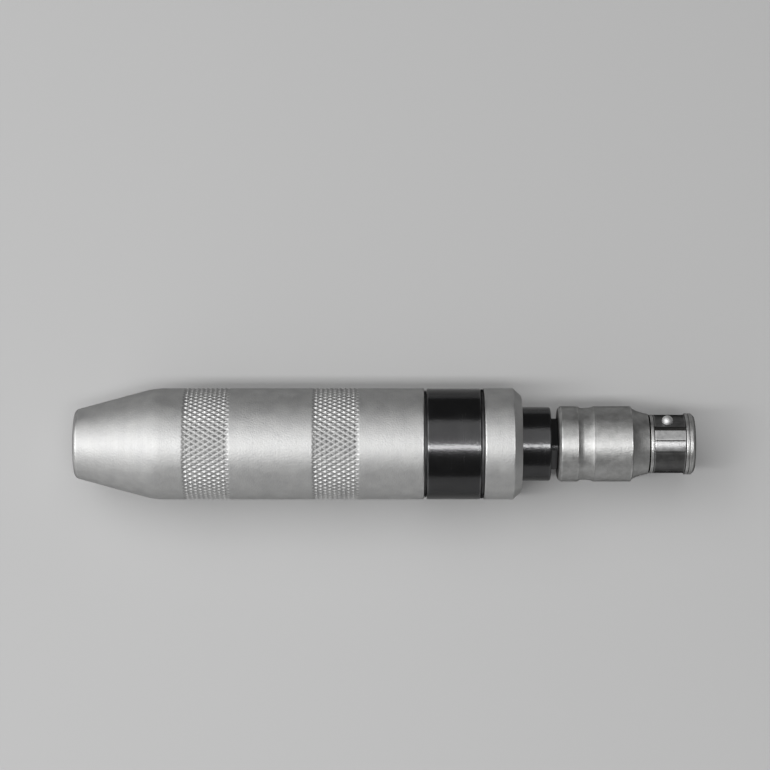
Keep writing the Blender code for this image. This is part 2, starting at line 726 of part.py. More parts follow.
def make_bit_holder(chrome):
    """The bit holder: turned outside, with a square socket, a hexagon socket and the retaining pin's hole."""
    rim_middle = nose_rim_end - NOSE_RIM_LENGTH / 2
    outline = [
        (0, holder_end),
        (NOSE_RIM_RADIUS - NOSE_CHAMFER, holder_end),
        (NOSE_RIM_RADIUS, nose_rim_end),
        (NOSE_RIM_RADIUS, rim_middle + NOSE_RIM_LINE_DEPTH),
        (NOSE_RIM_RADIUS - NOSE_RIM_LINE_DEPTH, rim_middle),
        (NOSE_RIM_RADIUS, rim_middle - NOSE_RIM_LINE_DEPTH),
        (NOSE_RIM_RADIUS, band_groove_end),
        (band_groove_radius, band_groove_end),
        (band_groove_radius, band_groove_start),
        (NOSE_RADIUS, band_groove_start),
        (NOSE_RADIUS, nose_start),
        *holder_taper(),
        *holder_groove(),
        (HOLDER_RADIUS, holder_rear + HOLDER_REAR_CHAMFER),
        (HOLDER_RADIUS - HOLDER_REAR_CHAMFER, holder_rear),
        (0, holder_rear),
    ]
    holder = turned("bit_holder", outline, chrome)
    half = SQUARE_ACROSS_FLATS / 2 + RUNNING_GAP
    square = box("square_socket", (-half, -half, holder_rear - OVERRUN), (half, half, square_socket_floor))
    square.rotation_euler.z = drive_ball_clock
    cut(holder, square)
    hexagon_radius = BIT_ACROSS_FLATS / math.sqrt(3)
    hexagon = cylinder("bit_socket", hexagon_radius, bit_socket_floor, holder_end + OVERRUN, facets=6)
    hexagon.rotation_euler.z = RETAINING_PIN_CLOCK
    cut(holder, hexagon)
    mouth_radius = hexagon_radius + BIT_SOCKET_CHAMFER
    mouth = cylinder(
        "bit_socket_mouth",
        mouth_radius - OVERRUN,
        holder_end - OVERRUN,
        holder_end + OVERRUN,
        high_radius=mouth_radius + OVERRUN,
    )
    cut(holder, mouth)
    pin_hole = cylinder("retaining_pin_hole", RETAINING_PIN_RADIUS + SEAT_GAP, 0, NOSE_RADIUS)
    cut(holder, radial_place(pin_hole, RETAINING_PIN_CLOCK, retaining_pin_station))
    return holder


def make_retainer(spring_steel, hardened):
    """The split spring band round the nose, and the domed pin near its free end that grips the bit."""
    inner = band_groove_radius + SEAT_GAP
    outline = ring_outline(inner, NOSE_RADIUS, band_groove_start + SEAT_GAP, band_groove_end - SEAT_GAP)
    band = turned("retaining_band", outline, spring_steel)
    low = (inner - OVERRUN, -BAND_GAP / 2, band_groove_start - OVERRUN)
    high = (NOSE_RADIUS + OVERRUN, BAND_GAP / 2, band_groove_end + OVERRUN)
    gap = box("band_gap", low, high)
    gap.rotation_euler.z = BAND_GAP_CLOCK
    cut(band, gap)
    hole = cylinder("band_pin_hole", RETAINING_PIN_RADIUS + SEAT_GAP, inner - OVERRUN, NOSE_RADIUS + OVERRUN)
    cut(band, radial_place(hole, RETAINING_PIN_CLOCK, retaining_pin_station))
    tip = BIT_ACROSS_FLATS / 2 - RETAINING_PIN_REACH
    head_base = NOSE_RADIUS + RETAINING_PIN_HEAD_LIFT
    dome = arc((0, head_base), RETAINING_PIN_HEAD_RADIUS, math.pi / 2, 0, CORNER_STEPS)
    point = arc((0, tip + RETAINING_PIN_RADIUS), RETAINING_PIN_RADIUS, 0, -math.pi / 2, ARC_STEPS)
    outline = [(0, dome[0][1]), *dome[1:], (RETAINING_PIN_RADIUS, head_base), *point[:-1], (0, tip)]
    pin = turned("retaining_pin", outline, hardened, SMALL_FACETS)
    radial_place(pin, RETAINING_PIN_CLOCK, retaining_pin_station)


def main():
    """Builds the driver, piece by piece."""
    clear_scene()
    add_collection(TOOL)
    add_collection(CUTTERS)
    add_axis()
    satin_chrome = finish("satin_chrome", (0.62, 0.62, 0.62), 1.0, 0.38)
    blasted_chrome = finish("blasted_chrome", (0.58, 0.58, 0.58), 1.0, 0.34)
    black_oxide = finish("black_oxide", (0.02, 0.02, 0.021), 0.4, 0.14)
    hardened = finish("hardened_steel", (0.55, 0.55, 0.56), 1.0, 0.2)
    machined = finish("machined_steel", (0.5, 0.5, 0.51), 1.0, 0.35)
    spring_steel = finish("spring_steel", (0.42, 0.42, 0.43), 1.0, 0.3)
    polished = finish("polished_spring_steel", (0.66, 0.66, 0.66), 1.0, 0.12)
    bronze = finish("bearing_bronze", (0.6, 0.42, 0.22), 1.0, 0.35)
    rubber = finish("seal_rubber", (0.03, 0.03, 0.03), 0.0, 0.6)
    make_handle(satin_chrome)
    make_spring_train(machined, spring_steel, hardened)
    make_spindle(black_oxide)
    make_cross_pin(hardened)
    make_collar(black_oxide, spring_steel, rubber)
    make_front_end(satin_chrome, bronze, hardened, spring_steel, rubber)
    make_drive_ball(hardened, spring_steel)
    make_bit_holder(blasted_chrome)
    make_retainer(polished, hardened)


main()
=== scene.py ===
"""The looks of a hand impact driver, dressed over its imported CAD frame.

The tool lies along +X. A place on it is given as a station, which is a distance in millimetres from the
striking face, a radius from the tool axis and a clock angle, which is 0 straight up and grows towards -Y.
Sizes are in millimetres until a mesh is filled, and in metres from there on. Angles are in radians, unless
their name ends in deg.
"""

import logging
import math
from collections.abc import Callable, Sequence
from dataclasses import dataclass
from enum import Enum
from functools import partial
from typing import Any

import bpy
import numpy as np
from bpy.types import ID, Material, Mesh, Node, NodeSocket, NodeTree, Object
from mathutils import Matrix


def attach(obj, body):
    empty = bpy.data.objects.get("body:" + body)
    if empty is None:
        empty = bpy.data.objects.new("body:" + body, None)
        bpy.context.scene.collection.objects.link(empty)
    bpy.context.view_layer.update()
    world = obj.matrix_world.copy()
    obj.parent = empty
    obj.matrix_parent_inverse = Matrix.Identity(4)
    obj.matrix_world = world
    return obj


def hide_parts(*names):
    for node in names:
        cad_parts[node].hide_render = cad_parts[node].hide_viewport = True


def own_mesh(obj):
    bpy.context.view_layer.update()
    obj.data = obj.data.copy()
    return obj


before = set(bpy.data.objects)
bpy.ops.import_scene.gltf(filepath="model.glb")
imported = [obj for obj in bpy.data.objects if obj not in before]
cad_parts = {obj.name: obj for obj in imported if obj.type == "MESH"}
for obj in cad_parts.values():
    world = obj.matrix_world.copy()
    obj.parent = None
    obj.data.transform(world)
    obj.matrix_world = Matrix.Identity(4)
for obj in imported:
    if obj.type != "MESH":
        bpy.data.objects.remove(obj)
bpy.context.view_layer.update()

LOG = logging.getLogger("impact_driver")
Array = np.ndarray
AddNode = Callable[..., Node]

MM = 0.001
FULL_TURN = math.tau
TOOL_LENGTH = 200.3
AXIS_HEIGHT = 18.094
COLUMNS = 132
SMALL_COLUMNS = 48
CREASE_ANGLE = math.radians(24.0)
WIRE_CREASE_ANGLE = math.radians(60.0)
# A fillet's steps, the width of the rubbed strip beside it, and the most of a side that each may take.
FILLET_STEPS = 4
WEAR_WIDTH = 0.35
FILLET_SHARE = 0.45
WEAR_SHARE = 0.49
# How far a cutter reaches past what it cuts, and the room round a pin or a small spring.
OVERRUN = 1.0
CLEARANCE = 0.15
# Where a Mix node keeps its two colours and its mixed one.
COLOUR_A, COLOUR_B, MIXED = 6, 7, 2
# The detail of fine, soft and cloudy noise, and the roughness of a metal's.
FINE, SOFT, CLOUDY = 2.0, 3.0, 4.0
ROUGH_NOISE = 0.6
# The middle range of one noise, of one noise where wear breaks up, and of two noises added.
CLOUD_RANGE = (0.3, 0.7)
RUB_RANGE = (0.35, 0.6)
SUM_RANGE = (0.7, 1.3)
LEAST_RUB = 0.35


class Body(Enum):
    """The CAD bodies that the pieces ride on."""

    HANDLE = "handle"
    PLUNGER = "plunger"
    SPINDLE = "spindle"
    COLLAR = "collar"
    HOLDER = "holder"
    SQUARE_BALL = "square_ball"
    BIT_PIN = "bit_pin"


def linear(hex_colour: str) -> tuple[float, float, float, float]:
    """Turns an sRGB colour into linear light.

    A channel up to 0.04045 is divided by 12.92. To a higher one 0.055 is added, and the sum is divided by
    1.055 and raised to the power 2.4.

    Args:
        hex_colour: the colour as "#RRGGBB".

    Returns:
        Red, green, blue and an alpha of one.
    """
    levels = np.array([int(hex_colour[i : i + 2], 16) for i in (1, 3, 5)]) / 255
    light = np.where(levels <= 0.04045, levels / 12.92, ((levels + 0.055) / 1.055) ** 2.4)
    return (*light.tolist(), 1.0)


def add_node(
    tree: NodeTree, kind: str, inputs: dict[str | int, Any] | Sequence[Any] = (), **settings: Any
) -> Node:
    """Adds a node to a tree.

    Args:
        tree: the node tree.
        kind: the node's type name, without its first word, ShaderNode.
        inputs: for each input, by key or in order, a value, the output that is linked to it, or the node
            whose first output is.
        settings: the node's own properties.

    Returns:
        The node.
    """
    node = tree.nodes.new("ShaderNode" + kind)
    for name, value in settings.items():
        setattr(node, name, value)
    for key, value in inputs.items() if isinstance(inputs, dict) else enumerate(inputs):
        if isinstance(value, Node):
            value = value.outputs[0]
        if isinstance(value, NodeSocket):
            tree.links.new(value, node.inputs[key])
        else:
            node.inputs[key].default_value = value
    return node


@dataclass(frozen=True)
class Finish:
    """What a surface is. Its lengths are in millimetres."""

    name: str

    def shader(self, add: AddNode) -> Node:
        """Adds the finish's own nodes with the given function, and returns its shader node."""
        raise NotImplementedError

    def material(self) -> Material:
        """Builds the node material, with its shader on the output.

        Returns:
            The material.
        """
        material = bpy.data.materials.new(self.name)
        material.use_nodes = True
        material.node_tree.nodes.clear()
        add = partial(add_node, material.node_tree)
        add("OutputMaterial", [self.shader(add)])
        return material


@dataclass(frozen=True)
class MetalFinish(Finish):
    """A metal surface as its tool marks, cloudiness, grain and worn edges show it.

    Its tones are a dark, a light and a worn one. Its roughness is a middle and a swing about it. Its marks
    are their pitch and depth, and its grain is its size and depth.
    """

    slot: str
    tones: tuple[str, str, str]
    roughness: tuple[float, float]
    marks: tuple[float, float]
    grain: tuple[float, float]
    cloud_size: float
    wear: float
    mark_run: float = 14.0
    rim: str = "#5A5A5A"
    polish: float = 0.3
    coat: float = 0.0
    coat_roughness: float = 0.06
    # The colour painted in as shade where the edge attribute is below 0.
    shade_colour: str = "#262523"

    def shader(self, add: AddNode) -> Node:
        """Builds the metal's shader.

        Tool marks are noise along the outline, read from the "along" attribute, which barely changes round
        the piece. Clouds are soft noise that shifts tone and roughness. Grain is fine noise in the bump.
        The "edge" attribute, broken up by the clouds, shows bare metal where hands and tools rub, and makes
        it smoother there. Where it is below 0, a dark colour is painted in as shade: in recesses, creases and
        gaps, and over part of the spring band.

        Args:
            add: adds a node to the material.

        Returns:
            The shader node.
        """
        middle, swing = self.roughness
        pitch, mark_depth = self.marks
        grain_size, grain_depth = self.grain
        dark, light, worn, shade_colour = map(linear, (*self.tones, self.shade_colour))
        place = add("TexCoord").outputs["Object"]
        split = add("SeparateXYZ", [place]).outputs
        along, edge = (add("Attribute", attribute_name=name).outputs["Fac"] for name in ("along", "edge"))
        spaced = ((along, pitch), (split["Y"], self.mark_run), (split["Z"], self.mark_run))
        counted = [add("Math", [length, 1 / (size * MM)], operation="MULTIPLY") for length, size in spaced]
        noises = (
            (add("CombineXYZ", counted), 1.0, SOFT),
            (place, 1 / (self.cloud_size * MM), CLOUDY),
            (place, 1 / (grain_size * MM), FINE),
        )
        marks, clouds, grain = (
            add("TexNoise", {"Vector": vector, "Scale": scale, "Detail": detail, "Roughness": ROUGH_NOISE})
            for vector, scale, detail in noises
        )
        tone_share = add("MapRange", [clouds, *CLOUD_RANGE])
        tone = add("Mix", {0: tone_share, COLOUR_A: dark, COLOUR_B: light}, data_type="RGBA")
        rub_share = add("MapRange", [clouds, *RUB_RANGE, LEAST_RUB * self.wear, self.wear])
        # The second mix paints shade in where the edge attribute is below 0.
        for factor, colour in ((rub_share, worn), (-1.0, shade_colour)):
            share = add("Math", [edge, factor], operation="MULTIPLY", use_clamp=True)
            mixed = {0: share, COLOUR_A: tone.outputs[MIXED], COLOUR_B: colour}
            tone = add("Mix", mixed, data_type="RGBA")
        unevenness = add("Math", [marks, clouds], operation="ADD")
        uneven = add("MapRange", [unevenness, *SUM_RANGE, middle - swing, middle + swing])
        rubbed = add("MapRange", [edge, 0.0, 1.0, 1.0, 1 - self.polish])
        ridges = add("Bump", {"Distance": mark_depth * MM, "Height": marks})
        relief = add("Bump", {"Distance": grain_depth * MM, "Height": grain, "Normal": ridges})
        inputs = {
            "Base Color": tone.outputs[MIXED],
            "Metallic": 1.0,
            "Specular Tint": linear(self.rim),
            "Roughness": add("Math", [uneven, rubbed], operation="MULTIPLY"),
            "Coat Weight": self.coat,
            "Coat Roughness": self.coat_roughness,
            "Coat Normal": relief,
            "Normal": relief,
        }
        return add("BsdfPrincipled", inputs)


@dataclass(frozen=True)
class RubberFinish(Finish):
    """Moulded nitrile rubber: matt, with the faint bloom and grain of a mould."""

    name: str = "moulded_nitrile_rubber"
    slot: str = "seal_rubber"
    tones: tuple[str, str] = ("#1C1C1D", "#2B2B2C")
    roughness: float = 0.58
    ior: float = 1.52
    cloud_size: float = 3.0
    grain: tuple[float, float] = (0.25, 0.01)

    def shader(self, add: AddNode) -> Node:
        """Builds the rubber's shader: its tone follows soft noise, and fine noise roughens it.

        Args:
            add: adds a node to the material.

        Returns:
            The shader node.
        """
        grain_size, depth = self.grain
        dark, light = map(linear, self.tones)
        place = add("TexCoord").outputs["Object"]
        clouds, grain = (
            add("TexNoise", {"Vector": place, "Scale": 1 / (size * MM), "Detail": detail})
            for size, detail in ((self.cloud_size, SOFT), (grain_size, FINE))
        )
        tone = add("Mix", {0: clouds, COLOUR_A: dark, COLOUR_B: light}, data_type="RGBA").outputs[MIXED]
        relief = add("Bump", {"Distance": depth * MM, "Height": grain})
        inputs = {"Base Color": tone, "Roughness": self.roughness, "IOR": self.ior, "Normal": relief}
        return add("BsdfPrincipled", inputs)


@dataclass(frozen=True)
class BoardFinish(Finish):
    """Pale backdrop board: an even, matt sheet that shows only the tool's shadow."""

    name: str = "pale_backdrop_board"
    colour: str = "#B9B9B9"
    roughness: float = 0.9
    specular: float = 0.2

    def shader(self, add: AddNode) -> Node:
        """Builds the board's shader, one colour all over."""
        settings = {"Roughness": self.roughness, "Specular IOR Level": self.specular}
        return add("BsdfPrincipled", {"Base Color": linear(self.colour), **settings})


# Satin chrome plate over turned, fine-blasted steel: a soft, broad sheen with faint lines round the tool.
# The real lines and grain are 0.1 mm apart, too fine to show, so they are drawn at 0.45 and 0.5 mm.
SATIN_CHROME = MetalFinish(
    "satin_chrome_plated_steel", "satin_chrome", tones=("#BABABA", "#C8C8C7", "#DADAD9"),
    roughness=(0.58, 0.04), marks=(0.45, 0.012), grain=(0.5, 0.085), cloud_size=4.0, wear=0.6,
)
# Chrome over blasted steel, a little glossier than the handle's, with an even grain. The real grain is
# 0.1 mm, too fine to show, so it is drawn at 0.45 mm.
BLASTED_CHROME = MetalFinish(
    "blasted_chrome_plated_steel", "blasted_chrome", tones=("#A8A8A7", "#C0C0BF", "#DCDCDB"),
    roughness=(0.46, 0.05), marks=(0.5, 0.003), grain=(0.45, 0.09), cloud_size=2.5, wear=1.0,
)
# Polished steel under black oxide and a film of oil: dark, with a sharp shine inside a soft one, fine
# specks in it, and edges rubbed back to steel.
BLACK_OXIDE = MetalFinish(
    "polished_black_oxide_steel", "black_oxide", tones=("#39393A", "#424243", "#8B8B8C"),
    roughness=(0.24, 0.04), marks=(0.4, 0.0006), grain=(0.6, 0.035), cloud_size=6.0, wear=0.5, coat=0.6,
)
# Hardened and ground steel: bright and smooth, with very fine grinding lines.
HARDENED_STEEL = MetalFinish(
    "ground_hardened_steel", "hardened_steel", tones=("#BDBDBE", "#CBCBCC", "#DCDCDC"),
    roughness=(0.17, 0.04), marks=(0.3, 0.0008), grain=(0.3, 0.001), cloud_size=2.0, wear=0.4,
)
# Hardened steel tumbled with stones after grinding: pale and satin, so that a small dome shows its shape.
TUMBLED_STEEL = MetalFinish(
    "tumbled_hardened_steel", "hardened_steel", tones=("#D0D0D0", "#DEDEDE", "#E4E4E4"),
    roughness=(0.58, 0.05), marks=(0.4, 0.002), grain=(0.3, 0.004), cloud_size=1.2, wear=0.5, rim="#C8C8C8",
)
# Steel as it leaves the lathe, oiled: visible feed marks on a mid-grey metal.
MACHINED_STEEL = MetalFinish(
    "turned_carbon_steel", "machined_steel", tones=("#A6A6A8", "#BFBFC0", "#CFCFCF"),
    roughness=(0.34, 0.07), marks=(0.35, 0.006), grain=(0.4, 0.002), cloud_size=4.0, wear=0.5,
)
# Oil-tempered spring steel: darker, with the long drawing lines of the wire.
SPRING_STEEL = MetalFinish(
    "oil_tempered_spring_steel", "spring_steel", tones=("#8F8F91", "#ABABAC", "#C2C2C2"),
    roughness=(0.3, 0.08), marks=(1.2, 0.002), grain=(0.35, 0.003), cloud_size=2.5, wear=0.5,
)
# Phosphated spring steel: a dull, dark grey crystal coat that holds oil.
PHOSPHATED_STEEL = MetalFinish(
    "phosphated_spring_steel", "spring_steel", tones=("#4A4A4B", "#5C5C5D", "#8E8E8E"),
    roughness=(0.46, 0.06), marks=(0.5, 0.002), grain=(0.3, 0.004), cloud_size=2.5, wear=0.4,
)
# Spring band polished after rolling: near mirror, with hairlines round it and small dents in its shine.
POLISHED_SPRING_STEEL = MetalFinish(
    "polished_spring_steel", "polished_spring_steel", tones=("#848484", "#9C9C9C", "#C8C8C8"),
    roughness=(0.4, 0.06), marks=(0.35, 0.0012), grain=(0.8, 0.02), cloud_size=2.0, wear=0.6,
)
# Sintered bearing bronze: warm, porous and turned to size.
BEARING_BRONZE = MetalFinish(
    "sintered_bearing_bronze", "bearing_bronze", tones=("#A57C4E", "#C79A63", "#D8B27C"),
    roughness=(0.38, 0.08), marks=(0.35, 0.003), grain=(0.22, 0.006), cloud_size=2.0, wear=0.4,
)
SEAL_RUBBER = RubberFinish()
PieceFinish = MetalFinish | RubberFinish


@dataclass(frozen=True)
class Corner:
    """A corner of an outline, with its fillet. It is worn, from 0 to 1, or painted with shade, from 0 to -1.
    """

    radius: float
    station: float
    fillet: float = 0.0
    wear: float = 0.0


@dataclass
class Outline:
    """An outline of (radius, station) points, with the wear at each, or painted shade where that is below 0,
    and whether its last joins its first.
    """

    points: Array
    edge: Array
    closed: bool

    @property
    def along(self) -> Array:
        """The length along the outline at each point: the running sum of the steps between points."""
        steps = np.linalg.norm(np.diff(self.points, axis=0), axis=1)
        return np.concatenate([[0.0], np.cumsum(steps)])


def curve(radii: Array, stations: Array) -> list[Corner]:
    """Corners along a smooth curve, given by its radii and its stations."""
    return [Corner(radius, station) for radius, station in zip(radii, stations)]


def arc(centre: tuple[float, float], radius: float, start: float, end: float, steps: int) -> list[Corner]:
    """Corners along an arc: the centre plus the radius times cosine outwards and sine forwards."""
    angles = np.linspace(start, end, steps + 1)
    return curve(centre[0] + radius * np.cos(angles), centre[1] + radius * np.sin(angles))


def groove(wall: float, start: float, end: float, floor: float, edge: float = 0.05) -> list[Corner]:
    """The corners of a square groove, from the side that the outline comes to first."""
    spots = ((wall, start, edge), (floor, start, 0.1), (floor, end, 0.1), (wall, end, edge))
    return [Corner(*spot) for spot in spots]


def trace(corners: list[Corner], closed: bool = False) -> Outline:
    """Rounds the corners of an outline.

    A fillet starts and ends where a circle touches both sides, at its radius over the tangent of half the
    corner's angle, and never takes more than its share of a side. Its points swing about its centre. A worn
    corner gets a point with no wear on each side of it, so that the rubbed strip keeps its width.

    Args:
        corners: the outline's corners, in order.
        closed: whether the last corner joins the first.

    Returns:
        The outline.
    """
    spots = np.array([(corner.radius, corner.station) for corner in corners])
    points, edge, count = [], [], len(corners)
    for i, corner in enumerate(corners):
        if corner.fillet == 0 or not closed and i in (0, count - 1):
            points.append(spots[i : i + 1])
            edge.append([corner.wear])
            continue
        sides = spots[[i - 1, (i + 1) % count]] - spots[i]
        lengths = np.linalg.norm(sides, axis=1)
        back, ahead = sides = sides / lengths[:, None]
        half = math.acos(np.clip(back @ ahead, -1, 1)) / 2
        reach = min(corner.fillet / math.tan(half), FILLET_SHARE * lengths.min())
        radius = reach * math.tan(half)
        middle = (back + ahead) / np.linalg.norm(back + ahead)
        across = (ahead - back) / np.linalg.norm(ahead - back)
        centre = spots[i] + middle * radius / math.sin(half)
        swing = np.linspace(half - math.pi / 2, math.pi / 2 - half, FILLET_STEPS + 1)[:, None]
        bend = centre - middle * radius * np.cos(swing) + across * radius * np.sin(swing)
        worn = np.full(len(bend), corner.wear)
        if corner.wear > 0:
            widths = np.minimum(reach + WEAR_WIDTH, WEAR_SHARE * lengths)
            before, after = spots[i] + sides * widths[:, None]
            bend = np.vstack([before, bend, after])
            worn = np.pad(worn, 1)
        points.append(bend)
        edge.append(worn)
    return Outline(np.vstack(points), np.concatenate(edge), closed)


def ring(
    inner: float, outer: float, rear: float, front: float, fillet: float = 0.15, wear: float = 0.6
) -> Outline:
    """The outline of a plain ring with rounded outer and softly broken inner edges."""
    outside = [Corner(outer, rear, fillet, wear), Corner(outer, front, fillet, wear)]
    return trace([Corner(inner, rear, fillet / 2), *outside, Corner(inner, front, fillet / 2)], closed=True)


def rod(radius: float, rear: float, front: float, fillet: float, wear: float) -> Outline:
    """The outline of a plain rod or disc with rounded edges."""
    edges = [Corner(radius, rear, fillet, wear), Corner(radius, front, fillet, wear)]
    return trace([Corner(0.0, rear), *edges, Corner(0.0, front)])


def ball(radius: float, height: float) -> Outline:
    """The outline of a ball whose middle is at a height along its axis: a half circle."""
    return trace(arc((0.0, height), radius, -math.pi / 2, math.pi / 2, SMALL_COLUMNS // 2))


def seal_ring(middle: float, wire: float, station: float) -> Outline:
    """The outline of a rubber ring of round section: a full circle that starts at its inner side."""
    return trace(arc((middle, station), wire, -math.pi, math.pi, SMALL_COLUMNS // 2)[:-1], closed=True)


def full_turn(count: int) -> Array:
    """Evenly spread clock angles round a full turn."""
    return np.linspace(0, FULL_TURN, count, endpoint=False)


def rectangle(low: float, high: float, half: float) -> Array:
    """The corners of a rectangle that runs from low to high, and from minus half to half across."""
    return np.array([(low, -half), (high, -half), (high, half), (low, half)])


def polygon(sides: int, radius: float, turn_deg: float = 0.0) -> Array:
    """The corners of a regular polygon: its radius times the cosine and the sine of evenly spread angles."""
    angles = math.radians(turn_deg) + np.arange(sides) * FULL_TURN / sides
    return radius * np.stack([np.cos(angles), np.sin(angles)], -1)


@dataclass(frozen=True)
class Placing:
    """An axis to turn about: its origin, its direction, and the direction that clock angle 0 points in."""

    origin: tuple[float, float, float]
    axis: tuple[float, float, float]
    up: tuple[float, float, float]

    def spot(self, station: float) -> Array:
        """The point of the axis at a station."""
        return np.array(self.origin) + station * np.array(self.axis)

    def spin(self, radius: Array, station: Array, clock: Array) -> Array:
        """Places points about the axis.

        A point is the origin, plus the station along the axis, plus the radius times cosine of the clock
        angle upwards and sine sideways, where sideways is the axis crossed with up.

        Args:
            radius: the distances from the axis.
            station: the distances along it.
            clock: the clock angles. The three have one shape, or broadcast to one.

        Returns:
            The points, with x, y and z as the last axis.
        """
        along = np.multiply.outer(station, self.axis)
        upwards = np.multiply.outer(radius * np.cos(clock), self.up)
        sideways = np.multiply.outer(radius * np.sin(clock), np.cross(self.axis, self.up))
        return np.array(self.origin) + along + upwards + sideways


TOOL_AXIS = Placing((-TOOL_LENGTH / 2, 0.0, AXIS_HEIGHT), (1.0, 0.0, 0.0), (0.0, 0.0, 1.0))


def radial(clock_deg: float, station: float) -> Placing:
    """An axis that points away from the tool axis at a clock angle, with the tool's own axis as its up."""
    clock = math.radians(clock_deg)
    return Placing(tuple(TOOL_AXIS.spot(station)), (0.0, -math.sin(clock), math.cos(clock)), TOOL_AXIS.axis)


def add_object(name: str, data: ID) -> Object:
    """Adds an object at the origin.

    Args:
        name: its name.
        data: the mesh, lamp or camera that it shows.

    Returns:
        The object.
    """
    item = bpy.data.objects.new(name, data)
    bpy.context.scene.collection.objects.link(item)
    return item


def smooth(mesh: Mesh, crease: float) -> None:
    """Shades a mesh smooth, and keeps its edges sharp where faces meet at more than the crease angle."""
    mesh.shade_smooth()
    mesh.set_sharp_from_angle(angle=crease)


class Shell:
    """A surface under construction: rings of points, and the faces between them."""

    def __init__(self) -> None:
        """Starts with no point and no face."""
        self.points: list[Array] = []
        self.along: list[Array] = []
        self.edge: list[Array] = []
        self.faces: list[Array] = []
        self.count = 0

    def rings(self, points: Array, along: Array | float = 0.0, edge: Array | float = 0.0) -> Array:
        """Adds points.

        Args:
            points: an array of points of any shape, the last axis being x, y and z.
            along: the length along the outline at each point, in millimetres, or one for all.
            edge: the wear at each point, or painted shade where it is below 0, or one for all.

        Returns:
            The points' numbers, in the shape of the array.
        """
        shape = points.shape[:-1]
        self.points.append(points.reshape(-1, 3))
        self.along.append(np.broadcast_to(along, shape).reshape(-1))
        self.edge.append(np.broadcast_to(edge, shape).reshape(-1))
        first = self.count
        self.count += int(np.prod(shape))
        return np.arange(first, self.count).reshape(shape)

    def skin(self, grid: Array, wrap: bool = True, lean: Array | None = None) -> None:
        """Covers a grid of points with faces.

        Args:
            grid: the numbers of the points, a row for each ring.
            wrap: whether the last column joins the first.
            lean: for each cell, whether it is split along its rising diagonal, or None for whole quads.
        """
        closed = np.hstack([grid, grid[:, :1]]) if wrap else grid
        a, b, c, d = closed[:-1, :-1], closed[:-1, 1:], closed[1:, 1:], closed[1:, :-1]
        if lean is None:
            self.faces.append(np.stack([a, b, c, d], -1).reshape(-1, 4))
            return
        rising, falling = np.stack([a, b, c, a, c, d], -1), np.stack([a, b, d, b, c, d], -1)
        self.faces.append(np.where(lean[..., None], rising, falling).reshape(-1, 3))

    def turn(
        self,
        outline: Outline,
        placing: Placing,
        clock: Array,
        wrap: bool = True,
        along: float = 0.0,
        lift: Array | float = 0.0,
        soil: Array | float = 0.0,
    ) -> Array:
        """Spins an outline about an axis: each of its points that is off the axis makes a ring.

        Args:
            outline: runs forwards on the outer side of the wall and back on its inner side.
            placing: the axis.
            clock: the clock angles.
            wrap: whether the last clock angle joins the first.
            along: the length along the surface at the outline's start.
            lift: what is added to the radius at each clock angle.
            soil: how much painted shade each clock angle gets, from 0 to 1, or, below 0, how far it is rubbed
                bright with a painted sheen.

        Returns:
            The numbers of the points, a row for each ring.
        """
        off_axis = ~np.isclose(outline.points[:, 0], 0)
        radius, station = outline.points[off_axis].T[..., None]
        points = placing.spin(radius + np.broadcast_to(lift, len(clock)), station, clock)
        grid = self.rings(points, along + outline.along[off_axis, None], outline.edge[off_axis, None] - soil)
        self.skin(np.vstack([grid, grid[:1]]) if outline.closed else grid, wrap)
        return grid

    def stitch(self, first: Array, second: Array) -> None:
        """Joins two rings with triangles, where one has a whole number of times the other's points.

        The first half of the fine points beside each coarse step goes to its near end, and the rest to its
        far end.

        Args:
            first: the ring that is nearer to the outline's start.
            second: the ring after it.
        """
        coarse, fine = (first, second) if len(first) < len(second) else (second, first)
        times = len(fine) // len(coarse)
        run = fine[(np.arange(len(coarse))[:, None] * times + np.arange(times + 1)) % len(fine)]
        near, far = coarse, np.roll(coarse, -1)
        middle = times // 2
        tips = np.where(np.arange(times) < middle, near[:, None], far[:, None])
        small = np.stack([run[:, :-1], run[:, 1:], tips], -1).reshape(-1, 3)
        triangles = np.vstack([small, np.stack([run[:, middle], far, near], -1)])
        self.faces.append(triangles[:, ::-1] if coarse is first else triangles)

    def fan(self, outline: Outline, placing: Placing, along: float, rim: Array, at_start: bool) -> None:
        """Adds the end of an outline that lies on the axis, and joins it to the ring beside it.

        Args:
            outline: the outline.
            placing: the axis.
            along: the length along the surface at that end.
            rim: the ring's points.
            at_start: whether it is the outline's start, or else its end.
        """
        station = outline.points[0 if at_start else -1, 1]
        centre, following = np.full(len(rim), self.rings(placing.spot(station), along)), np.roll(rim, -1)
        order = [centre, following, rim] if at_start else [rim, following, centre]
        self.faces.append(np.stack(order, -1))

    def cap(self, rim: Array, turned: bool = False) -> None:
        """Closes a ring with one many-sided face, in the ring's order or against it."""
        self.faces.append((rim[::-1] if turned else rim).reshape(1, -1))

    def piece(self, name: str, crease: float = CREASE_ANGLE) -> Object:
        """Fills a mesh with the points and faces, and makes it an object at the origin.

        Args:
            name: the object's name.
            crease: faces that meet at more than this angle have a sharp edge between them.

        Returns:
            The object.
        """
        corners = np.concatenate([group.reshape(-1) for group in self.faces])
        sizes = np.concatenate([np.full(len(group), group.shape[1]) for group in self.faces])
        starts = np.cumsum(sizes) - sizes
        mesh = bpy.data.meshes.new(name)
        mesh.vertices.add(self.count)
        mesh.vertices.foreach_set("co", (np.vstack(self.points) * MM).astype(np.float32).reshape(-1))
        mesh.loops.add(len(corners))
        mesh.loops.foreach_set("vertex_index", corners.astype(np.int32))
        mesh.polygons.add(len(sizes))
        mesh.polygons.foreach_set("loop_start", starts.astype(np.int32))
        mesh.update(calc_edges=True)
        for label, values, scale in (("along", self.along, MM), ("edge", self.edge, 1.0)):
            layer = mesh.attributes.new(label, "FLOAT", "CORNER")
            layer.data.foreach_set("value", (np.concatenate(values)[corners] * scale).astype(np.float32))
        mesh.validate()
        smooth(mesh, crease)
        return add_object(name, mesh)


